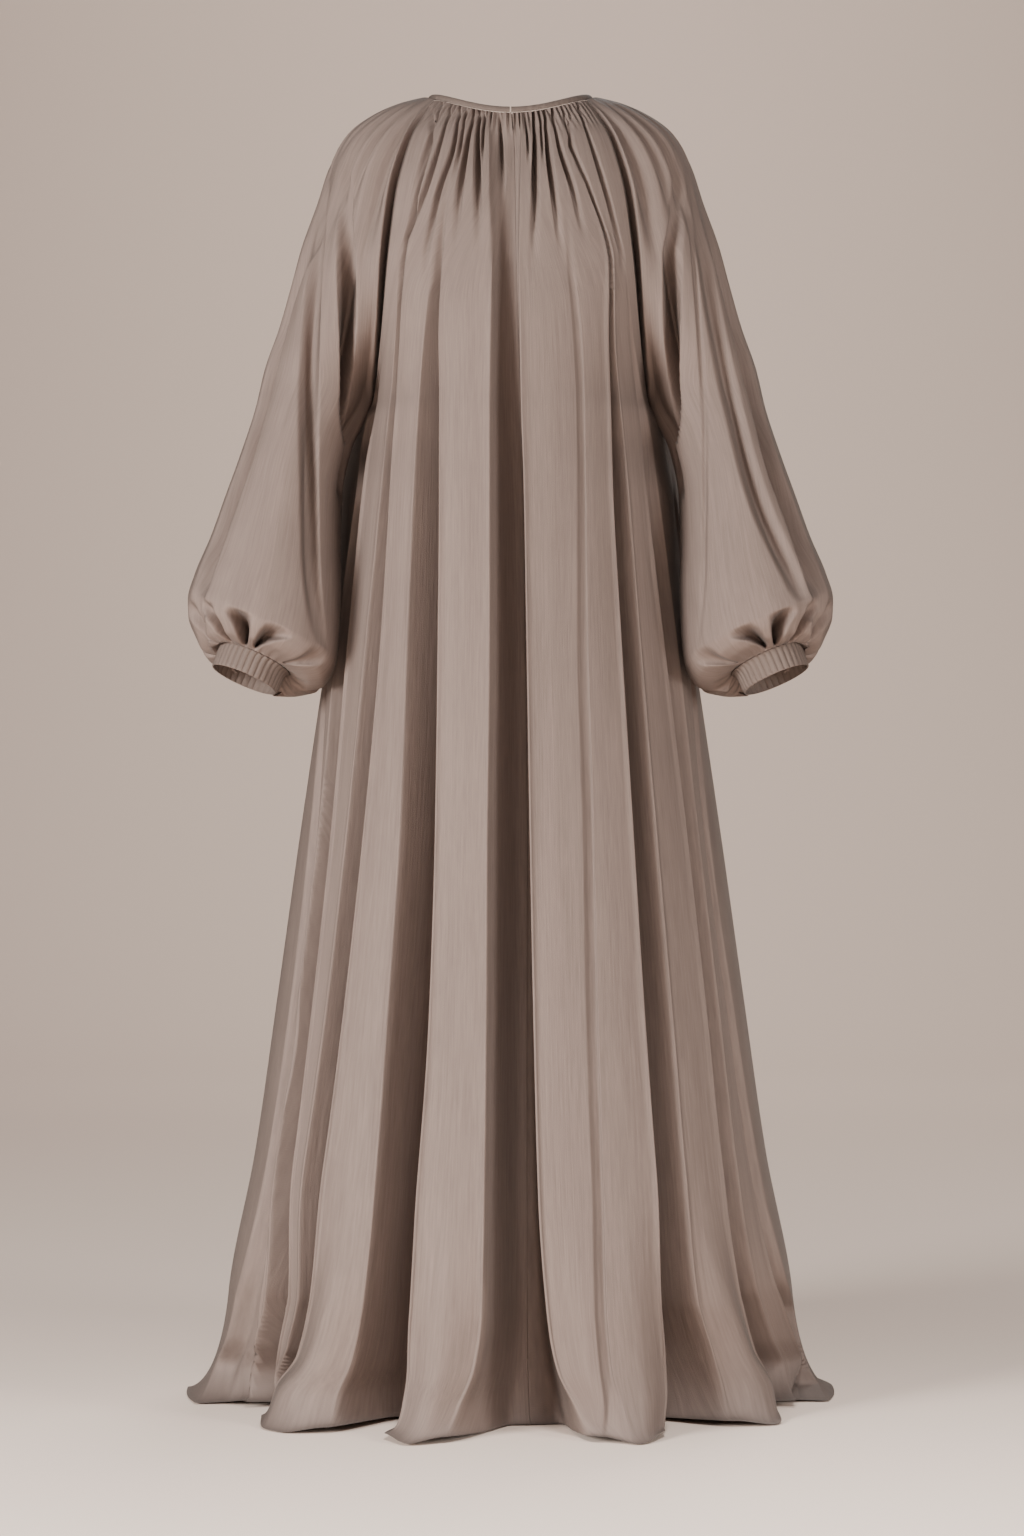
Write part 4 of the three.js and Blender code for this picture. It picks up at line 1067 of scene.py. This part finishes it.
def crepe_material(name, colour, streak, bump):
    material = bpy.data.materials.new(name)
    material.use_nodes = True
    nodes, links = material.node_tree.nodes, material.node_tree.links
    shader = nodes["Principled BSDF"]
    cloth = nodes.new("ShaderNodeGroup")
    cloth.node_tree = weave
    cloth.inputs["Base"].default_value = (*colour, 1)
    cloth.inputs["Streak"].default_value = streak
    # Layer Weight's Facing drives the painted shade where the cloth turns away from the eye.
    turned = nodes.new("ShaderNodeLayerWeight")
    turned.inputs["Blend"].default_value = 0.5
    raised = nodes.new("ShaderNodeBump")
    raised.inputs["Strength"].default_value = bump
    raised.inputs["Distance"].default_value = BUMP_HEIGHT
    links.new(turned.outputs["Facing"], cloth.inputs["Turned away"])
    links.new(cloth.outputs["Color"], shader.inputs["Base Color"])
    links.new(cloth.outputs["Roughness"], shader.inputs["Roughness"])
    links.new(cloth.outputs["Height"], raised.inputs["Height"])
    links.new(raised.outputs["Normal"], shader.inputs["Normal"])
    for socket, value in CREPE_FINISH.items():
        shader.inputs[socket].default_value = value
    return material


crepe = crepe_material("crepe", colour=(0.212, 0.16, 0.139), streak=0.6, bump=0.6)
# Painted shade: the trim is the same crepe with a darker colour, standing in for the shade of its tight
# gathers.
crepe_trim = crepe_material("crepe_trim", colour=(0.168, 0.127, 0.109), streak=0.3, bump=0.5)
print("materials:", crepe.name, "and", crepe_trim.name)

# %% [markdown]
# ## Dress the frame
# Each sheet gets its material, takes the place of its solid and rides with it. The table also gives
# each one's slot, flat size and area as cut before gathering, and what holds it, but nothing here
# reads those columns.

CUTS = rows(["piece", "node", "slot", "material", "flat", "area", "held"], [
    [front_right, "front_right", "crepe", crepe, (1.12, 1.48), 1.06, "gathered"],
    [front_left, "front_left", "crepe", crepe, (1.12, 1.48), 0.87, "gathered"],
    [back, "back", "crepe", crepe, (1.95, 1.48), 1.62, "gathered"],
    [sleeve_right, "sleeve_right", "crepe", crepe, (0.55, 0.76), 0.31, "gathered"],
    [sleeve_left, "sleeve_left", "crepe", crepe, (0.55, 0.76), 0.31, "gathered"],
    [neckband, "neckband", "crepe_trim", crepe_trim, (0.53, 0.02), None, "folded"],
    [cuff_right, "cuff_right", "crepe_trim", crepe_trim, (0.32, 0.056), None, "gathered"],
    [cuff_left, "cuff_left", "crepe_trim", crepe_trim, (0.32, 0.056), None, "gathered"],
])
for cut in CUTS:
    piece = cut["piece"]
    piece.data.materials.append(cut["material"])
    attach(piece, "root")
    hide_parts(cut["node"])
print(len(CUTS), "sheets take the places of their solids")

# %% [markdown]
# ## A plain studio
# A pale floor sweeps up into a backdrop, as photographers hang paper. Its colour is painted from
# light at the front to darker at the back, painted light on the near floor and painted shade on the
# backdrop, so that floor and backdrop can be told apart without a line.

# %% Floor and backdrop
FLOOR_Z = -FLOOR_DROP / MM_IN_A_METRE
SWEEP_FRONT_Y = -8
SWEEP_BACK_Y = 7.4
SWEEP_RADIUS = 3.2
SWEEP_HALF_WIDTH = 8
SWEEP_HEIGHT = 5
SWEEP_STEPS = 24
# Paper colour painted dark at the back and light at the front: painted shade and painted light.
PAPER_FAR_PAINTED_SHADE = {"y": 3.2, "colour": (0.455, 0.362, 0.309, 1)}
PAPER_NEAR_PAINTED_LIGHT = {"y": -0.6, "colour": (0.92, 0.765, 0.664, 1)}


def paper_material():
    paper = bpy.data.materials.new("paper")
    paper.use_nodes = True
    nodes, links = paper.node_tree.nodes, paper.node_tree.links
    shader = nodes["Principled BSDF"]
    place = nodes.new("ShaderNodeTexCoord")
    parts = nodes.new("ShaderNodeSeparateXYZ")
    depth = nodes.new("ShaderNodeMapRange")
    depth.interpolation_type = "SMOOTHSTEP"
    depth.inputs["From Min"].default_value = PAPER_FAR_PAINTED_SHADE["y"]
    depth.inputs["From Max"].default_value = PAPER_NEAR_PAINTED_LIGHT["y"]
    # The mix runs from painted shade at the back to painted light at the front.
    shade = nodes.new("ShaderNodeMix")
    shade.data_type = "RGBA"
    shade.inputs["A"].default_value = PAPER_FAR_PAINTED_SHADE["colour"]
    shade.inputs["B"].default_value = PAPER_NEAR_PAINTED_LIGHT["colour"]
    links.new(place.outputs["Object"], parts.inputs["Vector"])
    links.new(parts.outputs["Y"], depth.inputs["Value"])
    links.new(depth.outputs["Result"], shade.inputs["Factor"])
    links.new(shade.outputs["Result"], shader.inputs["Base Color"])
    shader.inputs["Roughness"].default_value = 0.85
    shader.inputs["Specular IOR Level"].default_value = 0.2
    return paper


def build_sweep(name):
    profile = [(SWEEP_FRONT_Y, FLOOR_Z)]
    for step in range(SWEEP_STEPS + 1):
        angle = step / SWEEP_STEPS * math.pi / 2
        y = SWEEP_BACK_Y - SWEEP_RADIUS + SWEEP_RADIUS * math.sin(angle)
        profile.append((y, FLOOR_Z + SWEEP_RADIUS * (1 - math.cos(angle))))
    profile.append((SWEEP_BACK_Y, FLOOR_Z + SWEEP_HEIGHT))
    vertices = [(side * SWEEP_HALF_WIDTH, y, z) for y, z in profile for side in (-1, 1)]
    faces = [(2 * k, 2 * k + 1, 2 * k + 3, 2 * k + 2) for k in range(len(profile) - 1)]
    mesh = bpy.data.meshes.new(name)
    mesh.from_pydata(vertices, [], faces)
    mesh.polygons.foreach_set("use_smooth", [True] * len(faces))
    mesh.materials.append(paper_material())
    sweep = bpy.data.objects.new(name, mesh)
    bpy.context.scene.collection.objects.link(sweep)
    return sweep


sweep = build_sweep("studio_sweep")
print("sweep:", len(sweep.data.polygons), "quads")

# %% [markdown]
# ## Light
# A strong soft light stands at the front left and a weaker one at the front right. Behind the
# garment, one lights the backdrop and one the floor in its shadow. A wide spot from above brightens
# the floor in front, and the world adds a little light from all round.

# %% Lights
WARM = (1, 0.97, 0.94)
LIGHTS = rows(["name", "place", "target", "size", "power"], [
    ["left_light", (-3.2, -2.8, -0.1), (0, 0, -0.75), 1.5, 290],
    ["right_light", (3.5, -2.3, -0.2), (0, 0, -0.75), 1.5, 98],
    ["back_light", (0.2, 3.4, 2.6), (0.1, 7.0, 0.1), 2.0, 225],
    ["rear_light", (0.9, 2.6, 2.0), (0.7, 1.3, -1.45), 1.5, 65],
])
SPOT = {"place": (0.25, -2.1, 1.3), "power": 480, "degrees": 90, "blend": 0.8, "size": 0.4}
SKY_COLOUR = (1, 0.98, 0.96, 1)
SKY_STRENGTH = 0.2


def add_lamp(light, place, power):
    light.energy = power
    light.color = WARM
    lamp = bpy.data.objects.new(light.name, light)
    lamp.location = place
    bpy.context.scene.collection.objects.link(lamp)
    return lamp


for row in LIGHTS:
    light = bpy.data.lights.new(row["name"], "AREA")
    light.shape = "DISK"
    light.size = row["size"]
    lamp = add_lamp(light, row["place"], row["power"])
    aim = Vector(np.array(row["target"]) - np.array(row["place"]))
    lamp.rotation_euler = aim.to_track_quat("-Z", "Y").to_euler()
spot = bpy.data.lights.new("floor_light", "SPOT")
spot.spot_size = math.radians(SPOT["degrees"])
spot.spot_blend = SPOT["blend"]
spot.shadow_soft_size = SPOT["size"]
add_lamp(spot, SPOT["place"], SPOT["power"])
world = bpy.data.worlds.new("studio")
bpy.context.scene.world = world
world.use_nodes = True
background = world.node_tree.nodes["Background"].inputs
background["Color"].default_value = SKY_COLOUR
background["Strength"].default_value = SKY_STRENGTH
print("lights:", len(LIGHTS) + 1)

# %% [markdown]
# ## Camera
# The camera looks level at the garment's middle from 4 m away. Its lens is worked out from how many
# pixels of a picture 1536 pixels high would cover a thing as tall as it is far away.

# %% Camera
SENSOR_HEIGHT = 36
FOCAL_PIXELS = 3543
PICTURE_PIXELS = 1536
CAMERA_PLACE = (0.0017, -4.0, -0.7575)
lens = bpy.data.cameras.new("camera")
lens.sensor_fit = "VERTICAL"
lens.sensor_height = SENSOR_HEIGHT
lens.lens = SENSOR_HEIGHT * FOCAL_PIXELS / PICTURE_PIXELS
camera = bpy.data.objects.new("camera", lens)
camera.location = CAMERA_PLACE
camera.rotation_euler = (math.pi / 2, 0, 0)
bpy.context.scene.collection.objects.link(camera)
bpy.context.scene.camera = camera
print("focal length:", round(lens.lens, 1), "mm")
